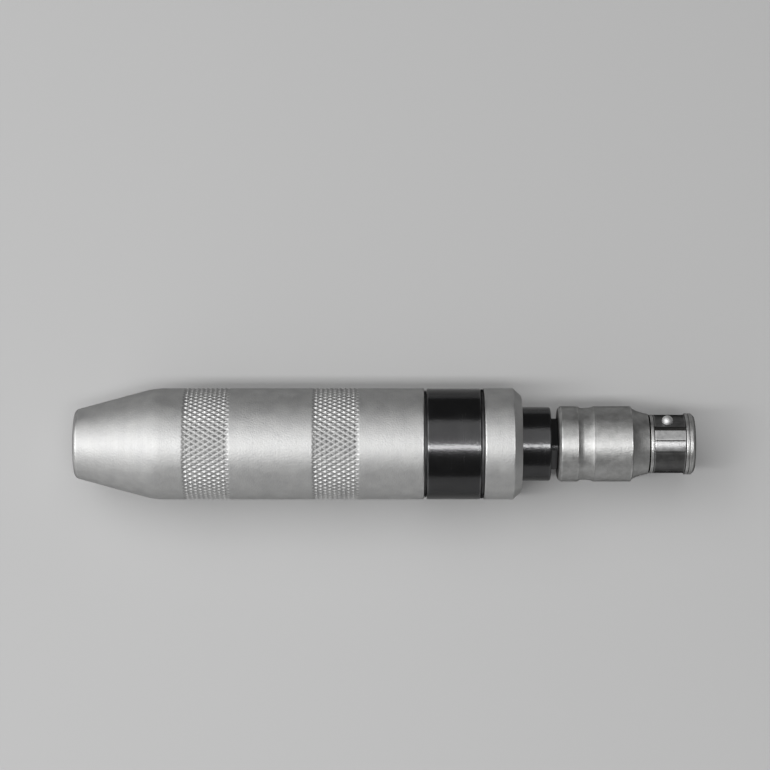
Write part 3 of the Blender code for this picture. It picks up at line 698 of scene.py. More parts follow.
def lathe(
    name: str,
    outline: Outline,
    placing: Placing = TOOL_AXIS,
    columns: int = COLUMNS,
    sweep: Array | None = None,
    **course: Array,
) -> Object:
    """Turns an outline about an axis.

    A point of the surface is the outline's (radius, station) at one parameter, spun to the clock angle at
    the other. An open outline starts and ends on the axis, and each end becomes one point with a fan about
    it. A part turn is closed by a flat face at each end.

    Args:
        name: the piece's name.
        outline: runs forwards on the outer side of the wall and back on its inner side.
        placing: the axis.
        columns: the number of steps in a full turn.
        sweep: the clock angles of a part turn, or None for a full one.
        course: the lift and the painted shade at each of those clock angles.

    Returns:
        The piece.
    """
    shell = Shell()
    clock = full_turn(columns) if sweep is None else sweep
    grid = shell.turn(outline, placing, clock, sweep is None, **course)
    if not outline.closed:
        shell.fan(outline, placing, 0.0, grid[0], at_start=True)
        shell.fan(outline, placing, outline.along[-1], grid[-1], at_start=False)
    if sweep is not None:
        shell.cap(grid[:, 0])
        shell.cap(grid[:, -1], turned=True)
    return shell.piece(name)


def prism(placing: Placing, section: Array, low: float, high: float, flare: float = 1.0) -> Object:
    """A cutter: a section carried along an axis, and scaled by the flare at its high end.

    Args:
        placing: the axis.
        section: the corners of the section as (up, side) pairs, anticlockwise about the axis.
        low: where it starts along the axis.
        high: where it ends.
        flare: the size of the high end as a share of the low end.

    Returns:
        The cutter.
    """
    shell = Shell()
    radius, clock = np.hypot(*section.T), np.arctan2(section[:, 1], section[:, 0])
    grid = shell.rings(placing.spin(radius * np.array([[1.0], [flare]]), np.array([[low], [high]]), clock))
    shell.skin(grid)
    shell.cap(grid[0], turned=True)
    shell.cap(grid[1])
    return shell.piece("cutter")


def carve(piece: Object, cutters: list[Object]) -> None:
    """Takes cutters out of a piece, applies the result to its mesh, and removes the cutters.

    Args:
        piece: what is cut.
        cutters: closed meshes.
    """
    for cutter in cutters:
        boolean = piece.modifiers.new("cut", "BOOLEAN")
        boolean.operation = "DIFFERENCE"
        boolean.solver = "EXACT"
        boolean.object = cutter
    done = piece.evaluated_get(bpy.context.evaluated_depsgraph_get())
    mesh = bpy.data.meshes.new_from_object(done)
    piece.modifiers.clear()
    old, piece.data = piece.data, mesh
    mesh.name = piece.name
    bpy.data.meshes.remove(old)
    for cutter in cutters:
        bpy.data.objects.remove(cutter)
    smooth(mesh, CREASE_ANGLE)


class Workshop:
    """Keeps one material for each finish, and makes and dresses pieces."""

    def __init__(self) -> None:
        """Starts with no material."""
        self.materials: dict[str, Material] = {}

    def dress(self, piece: Object, body: Body, finish: PieceFinish, node: str) -> None:
        """Gives a piece its material and its body, and lets it stand for its CAD node.

        Args:
            piece: the finished mesh object.
            body: the CAD body that it rides on.
            finish: what its surface is.
            node: the CAD node that it stands for.
        """
        if finish.name not in self.materials:
            self.materials[finish.name] = finish.material()
        piece.data.materials.clear()
        piece.data.materials.append(self.materials[finish.name])
        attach(piece, body.value)
        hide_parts(node)
        LOG.info("%s: %d faces in %s", piece.name, len(piece.data.polygons), finish.name)

    def turn(
        self, body: Body, finish: PieceFinish, node: str, name: str, outline: Outline, **how: Any
    ) -> None:
        """Turns a named piece, in the way that the last arguments tell the lathe, and dresses it."""
        self.dress(lathe(name, outline, **how), body, finish, node)


@dataclass(frozen=True)
class Spring:
    """A compression spring. Its closed turns, at each end, are ground flat.

    The closed pitch and the depth of the grinding are shares of the wire's radius, and the ease is the part
    of a turn over which the pitch changes.
    """

    coil_radius: float
    wire_radius: float
    rear: float
    front: float
    turns: float
    closed_turns: float = 0.0
    sides: int = 16
    steps_per_turn: int = 40
    closed_pitch: float = 2.1
    ground: float = 0.35
    ease: float = 0.3

    def build(self, name: str, placing: Placing) -> Object:
        """Builds the spring.

        Its centre line turns evenly about the axis, and rises by one closed pitch a turn at the ends and by
        one free pitch between them, eased where they meet. A circle of the wire's radius is carried along
        it, square to it. The stations are clipped to the ends, which grinds the last turns flat.

        Args:
            name: the piece's name.
            placing: the axis.

        Returns:
            The piece.
        """
        coil, wire, turns, closed = self.coil_radius, self.wire_radius, self.turns, self.closed_turns
        count = round(turns * self.steps_per_turn) + 1
        turn, free = np.linspace(0, turns, count), np.ones(count)
        inset = wire
        if closed:
            inset = wire - self.ground * wire
            spread = np.array([-self.ease, self.ease])
            free = np.interp(turn, closed + spread, [0, 1]) * np.interp(turn, turns - closed + spread, [1, 0])
        step, closed_pitch = turns / (count - 1), self.closed_pitch * wire
        middle = (free[1:] + free[:-1]) / 2
        rise = self.front - self.rear - 2 * inset
        free_pitch = (rise - closed_pitch * step * np.sum(1 - middle)) / (step * np.sum(middle))
        climb = step * (closed_pitch * (1 - middle) + free_pitch * middle)
        height = self.rear + inset + np.concatenate([[0.0], np.cumsum(climb)])
        clock = FULL_TURN * turn
        slope = np.gradient(height, clock)
        lean = np.arctan2(slope, coil)[:, None]
        around = full_turn(self.sides)
        out, lift = wire * np.cos(around), wire * np.sin(around)
        station = np.clip(height[:, None] + np.cos(lean) * lift, self.rear, self.front)
        points = placing.spin(coil + out, station, clock[:, None] - np.sin(lean) * lift / coil)
        shell = Shell()
        grid = shell.rings(points, (np.hypot(coil, slope) * clock)[:, None])
        shell.skin(grid[:, ::-1])
        shell.cap(grid[0])
        shell.cap(grid[-1], turned=True)
        return shell.piece(name, WIRE_CREASE_ANGLE)

    def shorten(self, piece: Object, placing: Placing, joint: str, travel: float) -> None:
        """Gives the built spring a mesh of its own."""
        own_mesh(piece)


@dataclass
class Knurl:
    """A band of crossed diagonal grooves rolled into the grip."""

    start: float
    width: float = 15.3
    crest: float = 18.09
    depth: float = 0.46
    around: int = 66
    lead: float = 3.0
    profile: tuple[tuple[float, ...], tuple[float, ...]] = ((0.0, 0.2, 0.4, 1.0), (0.0, 0.05, 0.22, 1.0))
    columns: int = 660
    rows: int = 50
    plain_radius: float = 18.0
    fade: float = 1.1
    shine: float = 0.85
    # Painted shade in the knurl's grooves.
    soil: float = 0.22

    def heights(self, clock: Array, station: Array) -> tuple[Array, Array]:
        """The relief of the band, from 0 in a groove to 1 on a crest.

        The grooves run where the clock angle's share of a tooth, plus or minus the station's share of the
        lead, is a whole number. Twice the distance to the nearest one, in teeth, runs from 0 there to 1 on
        the tip of a diamond. The relief follows the profile's points over it: a narrow floor, a rounded
        foot, and a straight flank up to the tip.

        Args:
            clock: clock angles.
            station: distances from the band's start.

        Returns:
            The relief, and whether the rising family is the nearer one.
        """
        share, climb = clock * self.around / FULL_TURN, station / self.lead
        falling, rising = (2 * np.abs(phase - np.round(phase)) for phase in (share + climb, share - climb))
        return np.interp(np.minimum(falling, rising), *self.profile), rising < falling

    def lay(self, shell: Shell, along: float) -> tuple[Array, Array]:
        """Adds the band to the handle's surface.

        Args:
            shell: the handle's surface.
            along: the length along the handle's outline where the band starts.

        Returns:
            The band's first and last rings.
        """
        clock = full_turn(self.columns)
        station = np.linspace(0, self.width, self.rows + 1)[:, None]
        relief, _ = self.heights(clock, station)
        from_end = np.minimum(station, self.width - station)
        cut = self.crest - self.depth * (1 - relief)
        radius = self.plain_radius + np.clip(from_end / self.fade, 0, 1) * (cut - self.plain_radius)
        # Crests are rubbed bright, and the grooves get painted shade.
        tone = (self.shine * relief - self.soil * (1 - relief)) * (from_end > 0)
        grid = shell.rings(TOOL_AXIS.spin(radius, self.start + station, clock), along + station, tone)
        half_column, half_row = math.pi / self.columns, self.width / self.rows / 2
        _, rising = self.heights(clock + half_column, station[:-1] + half_row)
        shell.skin(grid, lean=rising)
        return grid[0], grid[-1]


@dataclass
class VSlot:
    """The cutter of a V-shaped slot in the skirt: what the cross pin sweeps both ways, with its clearance."""

    apex_clock: float
    swing: float
    apex_station: float = 117.5
    stroke: float = 8.0
    half_width: float = 3.3
    inner: float = 13.0
    outer: float = 16.9
    middle_radius: float = 14.95
    steps: int = 12
    end_steps: int = 16

    def half_ring(self, radius: float) -> Array:
        """Half of the V's edge at one radius, from the back of its apex to the crotch between its legs.

        It runs round the back of the apex, along the leg's outer side, round its front end and back along
        its inner side, up to the apex's own clock angle. Each point is the pin's place there, plus the half
        width in the direction that the edge faces, square to the pin's own axis.

        Args:
            radius: where the edge is, measured from the tool axis.

        Returns:
            The points, as (distance from the tool axis, station, clock angle).
        """
        heading = math.atan2(self.middle_radius * self.swing, self.stroke)
        crotch = math.atan2(self.half_width * math.cos(heading), radius) / self.swing
        out, back = heading + math.pi / 2, heading - math.pi / 2
        rear = np.linspace(math.pi, out, self.end_steps // 2 + 1)
        side = np.linspace(0, 1, self.steps + 1)[1:]
        front = np.linspace(out, back, self.end_steps + 1)[1:-1]
        inside = np.linspace(1, crotch, self.steps + 1)
        share = np.concatenate([0 * rear, side, np.ones(len(front)), inside])
        bearing = np.concatenate([rear, np.full(len(side), out), front, np.full(len(inside), back)])
        sideways = self.half_width * np.sin(bearing)
        station = self.apex_station + self.stroke * share + self.half_width * np.cos(bearing)
        clock = self.swing * share + np.arctan2(sideways, radius)
        return np.stack([np.hypot(radius, sideways), station, clock], -1)

    def cutter(self) -> Object:
        """Builds the cutter.

        The edge and its mirror image make a ring at each of two radii, with a wall between them. Each end
        is closed by a strip along each leg, a face on each leg's tip and a face on the apex.

        Returns:
            The cutter.
        """
        layers = []
        for radius in (self.inner, self.outer):
            half = self.half_ring(radius)
            reach, station, clock = np.vstack([half, half[-2:0:-1] * (1, 1, -1)]).T
            layers.append(TOOL_AXIS.spin(reach, station, self.apex_clock + clock))
        shell = Shell()
        grid = shell.rings(np.stack(layers))
        shell.skin(grid)
        corner, crotch = self.end_steps // 2, len(half) - 1
        far_corner = 2 * crotch - corner
        for points, turned in ((grid[0], True), (grid[1], False)):
            for left, right in ((corner, crotch - self.steps), (crotch, far_corner - self.steps)):
                pair = points[left : left + self.steps + 1], points[right : right + self.steps + 1][::-1]
                shell.skin(np.stack(pair[::-1] if turned else pair), wrap=False)
            for tip in (corner + self.steps, crotch + self.steps):
                shell.cap(points[tip : tip + self.end_steps + 1], turned)
            rear = [points[far_corner:], points[: corner + 1], points[crotch : crotch + 1]]
            shell.cap(np.concatenate(rear), turned)
        return shell.piece("cutter")


@dataclass
class Handle:
    """The striking handle: a closed, tapered rear end, a grip with two knurled bands, and a slotted skirt.

    A groove is given as the side that the outline comes to first, the other side and its floor.
    """

    radius: float = 18.0
    length: float = 113.1
    face_radii: tuple[float, ...] = (0.0, 2.5, 5.0, 7.0, 8.4)
    face_wear: float = 0.7
    face_crown: float = 0.2
    face_edge: tuple[float, float] = (11.03, 2.4)
    taper_deg: float = 15.0
    blend_radius: float = 25.0
    blend_steps: int = 10
    cylinder_start: float = 29.3
    knurls: tuple[Knurl, ...] = (Knurl(35.6), Knurl(77.1))
    knurl_lead_in: float = 0.15
    skirt_radius: float = 15.9
    skirt_end: float = 139.6
    seal_groove: tuple[float, float, float] = (129.33, 130.47, 15.1)
    snap_groove: tuple[float, float, float] = (138.275, 136.925, 14.85)
    bore: float = 14.0
    bore_floor: float = 110.7
    spring_bore: float = 10.8
    spring_bore_floor: float = 36.5
    slot_apex_deg: float = 115.0
    slot_swing_deg: float = 25.0

    def build(self, workshop: Workshop) -> None:
        """Builds the handle: coarse rings with the knurled bands stitched between them, and the slots cut.

        Args:
            workshop: makes and dresses the pieces.
        """
        shell = Shell()
        outlines = self.outlines()
        along = 0.0
        bands: list[tuple[Array, Array]] = []
        grids: list[Array] = []
        for i, outline in enumerate(outlines):
            grids.append(shell.turn(outline, TOOL_AXIS, full_turn(COLUMNS), along=along))
            along += outline.along[-1] + self.knurl_lead_in
            if i < len(self.knurls):
                bands.append(self.knurls[i].lay(shell, along))
                along += self.knurls[i].width + self.knurl_lead_in
        for i, (first, last) in enumerate(bands):
            shell.stitch(grids[i][-1], first)
            shell.stitch(last, grids[i + 1][0])
        shell.fan(outlines[0], TOOL_AXIS, 0.0, grids[0][0], at_start=True)
        shell.fan(outlines[-1], TOOL_AXIS, along, grids[-1][-1], at_start=False)
        handle = shell.piece("striking_handle")
        apex, swing = math.radians(self.slot_apex_deg), math.radians(self.slot_swing_deg)
        carve(handle, [VSlot(apex + side, swing).cutter() for side in (0.0, math.pi)])
        workshop.dress(handle, Body.HANDLE, SATIN_CHROME, "handle_body")

    def outlines(self) -> list[Outline]:
        """The handle's outline from the middle of its face to the middle of its floor, less the bands.

        The face's crown falls with the square of the radius, and so does the wear of the hammer. The taper
        runs straight from the face's corner to an arc, which turns by the taper's angle into the grip. From
        the grip the outline goes over the skirt, and back through the bores to the spring's floor.

        Returns:
            The stretch behind the first band, the ones between bands, and the one in front of the last.
        """
        radii = np.array(self.face_radii)
        crown = (radii / radii[-1]) ** 2
        face = [
            Corner(radius, self.face_crown * share, wear=self.face_wear * (1 - share))
            for radius, share in zip(radii, crown)
        ]
        face_radius, face_fillet = self.face_edge
        centre, lean = (self.radius - self.blend_radius, self.cylinder_start), math.radians(self.taper_deg)
        rear = [
            *face,
            Corner(face_radius, self.face_crown, face_fillet, 0.9),
            *arc(centre, self.blend_radius, -lean, 0.0, self.blend_steps),
        ]
        front = [
            Corner(self.radius, self.length, 0.4, 1.0),
            Corner(self.skirt_radius, self.length, 0.2),
            *groove(self.skirt_radius, *self.seal_groove, edge=0.08),
            Corner(self.skirt_radius, self.skirt_end, 0.4, 0.6),
            Corner(self.bore, self.skirt_end, 0.3, 0.4),
            *groove(self.bore, *self.snap_groove),
            Corner(self.bore, self.bore_floor, 0.4),
            Corner(self.spring_bore, self.bore_floor, 0.4, 0.4),
            Corner(self.spring_bore, self.spring_bore_floor, 0.8),
            Corner(0.0, self.spring_bore_floor),
        ]
        stretches = [rear]
        for knurl in self.knurls:
            stretches[-1].append(Corner(self.radius, knurl.start - self.knurl_lead_in))
            stretches.append([Corner(self.radius, knurl.start + knurl.width + self.knurl_lead_in)])
        stretches[-1].extend(front)
        return [trace(corners) for corners in stretches]


@dataclass
class SpringTrain:
    """The parts behind the spindle: spring seat, main spring, plunger and thrust ball."""

    seat: tuple[float, float, float] = (10.65, 36.65, 38.65)
    spring: Spring = Spring(8.75, wire_radius=1.6, rear=38.8, front=90.326, turns=8.5, closed_turns=1.0)
    blow: float = 8.0
    head: tuple[float, float, float] = (10.5, 90.476, 94.476)
    stem: tuple[float, float] = (5.5, 76.476)
    ball_seat: float = 3.4
    ball: tuple[float, float] = (3.5, 96.238)

    def build(self, workshop: Workshop) -> None:
        """Builds the four parts, and gives the spring a mesh of its own.

        Args:
            workshop: makes and dresses the pieces.
        """
        seat = rod(*self.seat, fillet=0.25, wear=0.5)
        workshop.turn(Body.HANDLE, HARDENED_STEEL, "spring_seat", "spring_rest", seat)
        coil = self.spring.build("blow_spring", TOOL_AXIS)
        workshop.dress(coil, Body.HANDLE, SPRING_STEEL, "main_spring")
        self.spring.shorten(coil, TOOL_AXIS, "blow_stroke", self.blow)

        turn = partial(workshop.turn, Body.PLUNGER)
        head_radius, head_rear, head_front = self.head
        stem_radius, stem_rear = self.stem
        corners = [
            Corner(0.0, stem_rear),
            Corner(stem_radius, stem_rear, 0.8, 0.5),
            Corner(stem_radius, head_rear, 0.5),
            Corner(head_radius, head_rear, 0.3, 0.5),
            Corner(head_radius, head_front, 0.8, 0.5),
            Corner(self.ball_seat, head_front, 0.15, 0.4),
            Corner(0.0, head_front - self.ball_seat),
        ]
        turn(MACHINED_STEEL, "spring_plunger", "turned_plunger", trace(corners))
        turn(HARDENED_STEEL, "thrust_ball", "steel_thrust_ball", ball(*self.ball), columns=SMALL_COLUMNS)


@dataclass
class Spindle:
    """The black spindle with its drive square, the cross pin through it, and the square's sprung ball."""

    rear: float = 98.0
    journal: float = 10.5
    barrel: tuple[float, float, float] = (13.7, 119.0, 130.0)
    neck_radius: float = 12.0
    neck_end: float = 153.9
    square_end: float = 169.5
    square_corner: float = 8.3
    square_chamfer: float = 1.2
    half_square: float = 6.35
    square_clock_deg: float = 73.0
    flat_cutter: tuple[float, float] = (10.0, 5.0)
    pin_clock_deg: float = 90.0
    pin_station: float = 125.5
    pin_radius: float = 3.0
    pin_half_length: float = 16.8
    pin_hole_reach: float = 15.0
    thrust_seat: float = 3.4
    ball_station: float = 161.9
    ball: tuple[float, float] = (2.25, 4.35)
    ball_gap: float = 0.12
    ball_spring: Spring = Spring(
        1.82, wire_radius=0.28, rear=-2.5, front=2.1, turns=4.5, sides=8, steps_per_turn=24
    )
    ball_travel: float = 0.6

    def build(self, workshop: Workshop) -> None:
        """Builds the spindle and what it carries.

        Args:
            workshop: makes and dresses the pieces.
        """
        barrel, barrel_rear, barrel_front = self.barrel
        corners = [
            Corner(0.0, self.rear + self.thrust_seat),
            Corner(self.thrust_seat, self.rear, 0.15, 0.3),
            Corner(self.journal, self.rear, 0.6, 0.5),
            Corner(self.journal, barrel_rear, 0.3),
            Corner(barrel, barrel_rear, 0.6, 0.5),
            Corner(barrel, barrel_front, 0.6, 0.5),
            Corner(self.neck_radius, barrel_front, 0.3),
            Corner(self.neck_radius, self.neck_end, 0.5, 0.35),
            Corner(self.square_corner, self.neck_end, 0.3),
            Corner(self.square_corner, self.square_end - self.square_chamfer, 0.3, 0.4),
            Corner(self.square_corner - self.square_chamfer, self.square_end, 0.3, 0.5),
            Corner(0.0, self.square_end),
        ]
        spindle = lathe("drive_spindle", trace(corners))
        half_width, depth = self.flat_cutter
        flat = rectangle(self.neck_end, self.square_end + OVERRUN, half_width)
        low, high = self.half_square, self.half_square + depth
        sides = [radial(self.square_clock_deg + 90 * side, 0.0) for side in range(4)]
        cutters = [prism(side, flat, low, high) for side in sides]
        pin_axis = radial(self.pin_clock_deg, self.pin_station)
        pin_hole = polygon(SMALL_COLUMNS, self.pin_radius + CLEARANCE)
        cutters.append(prism(pin_axis, pin_hole, -self.pin_hole_reach, self.pin_hole_reach))
        ball_axis = radial(self.square_clock_deg, self.ball_station)
        ball_hole = polygon(SMALL_COLUMNS, self.ball[0] + self.ball_gap)
        floor = self.ball_spring.rear - CLEARANCE
        cutters.append(prism(ball_axis, ball_hole, floor, self.half_square + OVERRUN))
        carve(spindle, cutters)
        workshop.dress(spindle, Body.SPINDLE, BLACK_OXIDE, "spindle")

        pin = rod(self.pin_radius, -self.pin_half_length, self.pin_half_length, fillet=0.5, wear=0.6)
        for body, node, name, outline, placing in (
            (Body.SPINDLE, "cross_pin", "spindle_cross_pin", pin, pin_axis),
            (Body.SQUARE_BALL, "drive_ball", "square_detent_ball", ball(*self.ball), ball_axis),
        ):
            workshop.turn(body, HARDENED_STEEL, node, name, outline, placing=placing, columns=SMALL_COLUMNS)
        coil = self.ball_spring.build("square_detent_spring", ball_axis)
        workshop.dress(coil, Body.SPINDLE, SPRING_STEEL, "drive_ball_spring")
        self.ball_spring.shorten(coil, ball_axis, "drive_ball_press", self.ball_travel)


@dataclass
class DirectionCollar:
    """The black collar that is turned to choose a direction, with its washer and its grease seal."""

    bore: float = 16.2
    radius: float = 18.0
    rear: float = 113.9
    front: float = 131.3
    chamfer: float = 0.35
    keyway_clocks_deg: tuple[float, float] = (90.0, 270.0)
    keyway_floor: float = 17.1
    keyway_half_width: float = 3.3
    keyway_end: float = 128.8
    washer: tuple[float, float, float] = (17.3, 113.25, 113.75)
    seal: tuple[float, float, float] = (15.705, 0.42, 129.9)

    def build(self, workshop: Workshop) -> None:
        """Builds the collar with its two keyways, and what lies under it.

        Args:
            workshop: makes and dresses the pieces.
        """
        outline = ring(self.bore, self.radius, self.rear, self.front, self.chamfer, wear=0.8)
        collar = lathe("black_direction_collar", outline)
        sections = [self.keyway_section(math.radians(clock)) for clock in self.keyway_clocks_deg]
        start = self.rear - OVERRUN
        carve(collar, [prism(TOOL_AXIS, section, start, self.keyway_end) for section in sections])
        workshop.dress(collar, Body.COLLAR, BLACK_OXIDE, "direction_collar")
        turn = partial(workshop.turn, Body.HANDLE)
        washer = ring(self.bore, *self.washer, fillet=0.12, wear=0.2)
        turn(PHOSPHATED_STEEL, "collar_washer", "collar_spacer_washer", washer)
        turn(SEAL_RUBBER, "collar_seal", "collar_grease_seal", seal_ring(*self.seal))

    def keyway_section(self, clock: float) -> Array:
        """The corners of a keyway across the tool, a rectangle turned to its clock angle."""
        turn = np.array([[math.cos(clock), math.sin(clock)], [-math.sin(clock), math.cos(clock)]])
        return rectangle(self.bore - OVERRUN, self.keyway_floor, self.keyway_half_width) @ turn


@dataclass
class FrontEnd:
    """What closes the handle's front: washers, bush, snap ring, front ring and wiper seal."""

    hole: float = 12.3
    seat: float = 13.85
    stop_washer: tuple[float, float] = (130.3, 131.3)
    bush: tuple[float, float] = (131.45, 136.85)
    snap: tuple[float, float, float, float] = (12.7, 14.7, 137.0, 138.2)
    snap_mouth: float = 7.0
    ring_washer: tuple[float, float, float, float] = (16.2, 17.7, 131.45, 132.25)
    ring_rear: float = 132.4
    ring_front: float = 144.5
    ring_radius: float = 18.0
    ring_bore: float = 16.2
    lip: float = 139.9
    chamfer_length: float = 2.6
    chamfer_depth: float = 2.4
    wiper: tuple[float, float, float] = (12.9, 0.75, 142.8)
    wiper_groove: tuple[float, float, float] = (143.7, 141.9, 13.8)

    def build(self, workshop: Workshop) -> None:
        """Builds the washers, the bush, the snap ring, the front ring and its seal, all on the handle.

        Args:
            workshop: makes and dresses the pieces.
        """
        half = math.asin(self.snap_mouth / (self.snap[0] + self.snap[1]))
        sweep = np.linspace(half, FULL_TURN - half, COLUMNS)
        stop = ring(self.hole, self.seat, *self.stop_washer)
        bush = ring(self.hole, self.seat, *self.bush, fillet=0.3, wear=0.5)
        washer = ring(*self.ring_washer, fillet=0.18, wear=0.5)
        turn = partial(workshop.turn, Body.HANDLE)
        turn(HARDENED_STEEL, "stop_washer", "hardened_stop_washer", stop)
        turn(BEARING_BRONZE, "guide_bush", "bronze_guide_bush", bush)
        turn(SPRING_STEEL, "snap_ring", "split_snap_ring", ring(*self.snap), sweep=sweep)
        turn(PHOSPHATED_STEEL, "ring_washer", "ring_spacer_washer", washer)
        turn(SATIN_CHROME, "front_ring", "threaded_front_ring", self.front_ring_outline())
        turn(SEAL_RUBBER, "wiper_seal", "neck_wiper_seal", seal_ring(*self.wiper))

    def front_ring_outline(self) -> Outline:
        """The front ring: a bore for the skirt, a lip with the wiper's groove, and a bevelled front.

        Returns:
            The outline.
        """
        corners = [
            Corner(self.ring_bore, self.ring_rear, 0.2),
            Corner(self.ring_radius, self.ring_rear, 0.3, 1.0),
            Corner(self.ring_radius, self.ring_front - self.chamfer_length, 0.25, 0.7),
            Corner(self.ring_radius - self.chamfer_depth, self.ring_front, 0.3, 0.7),
            Corner(self.hole, self.ring_front, 0.25, 0.4),
            *groove(self.hole, *self.wiper_groove),
            Corner(self.hole, self.lip, 0.1),
            Corner(self.ring_bore, self.lip, 0.2),
        ]
        return trace(corners, closed=True)


@dataclass
class BitHolder:
    """The slide-on bit holder, the spring band round its nose and the domed pin that grips the bit.

    A groove is given as its rear side, its front side and its depth or its floor.
    """

    rear: float = 156.35
    radius: float = 12.2
    rear_chamfer: float = 0.85
    groove: tuple[float, float, float] = (162.5, 167.8, 0.6)
    groove_wall: float = 1.4
    main_end: float = 179.9
    shoulder: tuple[float, float] = (11.6, 180.2)
    taper_even: float = 1.0
    taper_bend: float = 0.84
    curve_points: int = 11
    nose_start: float = 185.45
    nose_radius: float = 9.45
    nose_relief: tuple[float, float, float] = (185.5, 185.95, 9.25)
    nose_edge: float = 186.0
    band_groove: tuple[float, float, float] = (187.0, 197.3, 8.75)
    rim_radius: float = 9.9
    rim_end: float = 199.4
    rim_line: float = 0.25
    end: float = 200.3
    end_chamfer: float = 0.9
    square_clock_deg: float = 73.0
    half_socket: float = 6.65
    socket_floor: float = 169.8
    hexagon: float = 10.2
    hexagon_floor: float = 182.3
    mouth_radius: float = 6.79
    mouth_sides: int = 72
    pin_clock_deg: float = -31.0
    pin_station: float = 191.4
    pin_radius: float = 1.2
    pin_head: float = 1.87
    pin_head_base: float = 9.55
    pin_head_steps: int = 10
    pin_tip: float = 4.5
    pin_tip_steps: int = 8
    band: tuple[float, float, float, float] = (8.9, 9.45, 187.15, 197.15)
    band_gap_deg: tuple[float, float] = (-17.2, -6.8)
    band_steps: int = 110
    tongue_end_deg: float = 33.6
    tongue_drop_deg: float = 1.0
    tongue_step_deg: float = 0.5
    tongue_lift: tuple[float, float] = (0.5, 0.22)
    # The tongue's rub: real wear with a painted sheen, from its free end to the score.
    tongue_rub_and_sheen: tuple[float, float] = (1.0, 0.24)
    score_deg: float = 12.7
    score_half_deg: float = 0.75
    score_depth: float = 0.03
    # Painted shadow in the corner below the tongue, and painted shade over the band beyond it and beside the
    # pin.
    corner_shadow_deg: float = 2.0
    band_shade: float = 0.55
    pin_side_shade: float = 0.2
    pin_side_deg: tuple[float, float] = (312.0, 332.0)

    def build(self, workshop: Workshop) -> None:
        """Builds the holder with its sockets, the band and the pin.

        Args:
            workshop: makes and dresses the pieces.
        """
        holder = lathe("hexagon_bit_holder", self.outline())
        pin_axis = radial(self.pin_clock_deg, self.pin_station)
        pin_hole = polygon(SMALL_COLUMNS, self.pin_radius + CLEARANCE)
        square = polygon(4, self.half_socket * math.sqrt(2), self.square_clock_deg + 45)
        hexagon = polygon(6, self.hexagon / math.sqrt(3), self.pin_clock_deg + 30)
        narrow, wide = self.mouth_radius - OVERRUN, self.mouth_radius + OVERRUN
        mouth, before, beyond = polygon(self.mouth_sides, narrow), self.end - OVERRUN, self.end + OVERRUN
        cutters = [
            prism(TOOL_AXIS, square, self.rear - OVERRUN, self.socket_floor),
            prism(TOOL_AXIS, hexagon, self.hexagon_floor, beyond),
            prism(TOOL_AXIS, mouth, before, beyond, wide / narrow),
            prism(pin_axis, pin_hole, 0.0, self.nose_radius),
        ]
        carve(holder, cutters)
        workshop.dress(holder, Body.HOLDER, BLASTED_CHROME, "bit_holder")

        clock, lift, soil = self.band_course()
        outline = ring(*self.band, fillet=0.12, wear=0.7)
        band = lathe("split_spring_band", outline, sweep=clock, lift=lift, soil=soil)
        carve(band, [prism(pin_axis, pin_hole, self.band[0] - OVERRUN, self.band[1] + OVERRUN)])
        workshop.dress(band, Body.HOLDER, POLISHED_SPRING_STEEL, "retaining_band")

        tip_middle, right_angle = (0.0, self.pin_tip + self.pin_radius), math.pi / 2
        corners = [
            *arc(tip_middle, self.pin_radius, -right_angle, 0.0, self.pin_tip_steps),
            Corner(self.pin_radius, self.pin_head_base, 0.08),
            *arc((0.0, self.pin_head_base), self.pin_head, 0.0, right_angle, self.pin_head_steps),
        ]
        pin = lathe("domed_retaining_pin", trace(corners), pin_axis, SMALL_COLUMNS)
        workshop.dress(pin, Body.BIT_PIN, TUMBLED_STEEL, "retaining_pin")

    def band_course(self) -> tuple[Array, Array, Array]:
        """The band's course round the nose.

        From its gap to the end of its tongue it lies proud of the nose: its lift falls in a straight line
        over the tongue's clock angles, dips at a scored line, and drops to 0 at the end. Painted shade fills
        the score, and a painted shadow the corner below that end; a lighter painted shade covers the band
        beyond, and less of it lies beside the pin. The tongue itself is rubbed bright, with a painted sheen,
        most of all at its free end.

        Returns:
            The clock angles, close together over the tongue, and the lift and the painted shade, or below 0
            the rub and painted sheen, at each.
        """
        gap_start, gap_end = self.band_gap_deg
        foot, step = self.tongue_end_deg + self.tongue_drop_deg, self.tongue_step_deg
        over_tongue = np.arange(gap_end, foot + step, step)
        rest = np.linspace(foot + 2 * step, gap_start + 360, self.band_steps)
        clock = np.concatenate([over_tongue, rest])
        on_tongue = clock <= self.tongue_end_deg
        lift = np.interp(clock, [gap_end, self.tongue_end_deg, foot], [*self.tongue_lift, 0.0])
        # The score is a real dip with painted shade in it, and the corner below the tongue's end gets a
        # painted shadow.
        dip = np.clip(2 - np.abs(clock - self.score_deg) / self.score_half_deg, 0, 1)
        marks = np.maximum(dip, np.clip(1 - np.abs(clock - foot) / self.corner_shadow_deg, 0, 1))
        # A lighter painted shade over the rest of the band, less beside the pin.
        painted_band_shade = np.interp(clock, self.pin_side_deg, (self.band_shade, self.pin_side_shade)) * ~on_tongue
        # The tongue is rubbed bright: real wear with a painted sheen.
        rub_and_sheen = np.interp(clock, (gap_end, self.score_deg), self.tongue_rub_and_sheen) * on_tongue * (1 - marks)
        return np.radians(clock), lift - self.score_depth * dip, np.maximum(painted_band_shade, marks) - rub_and_sheen

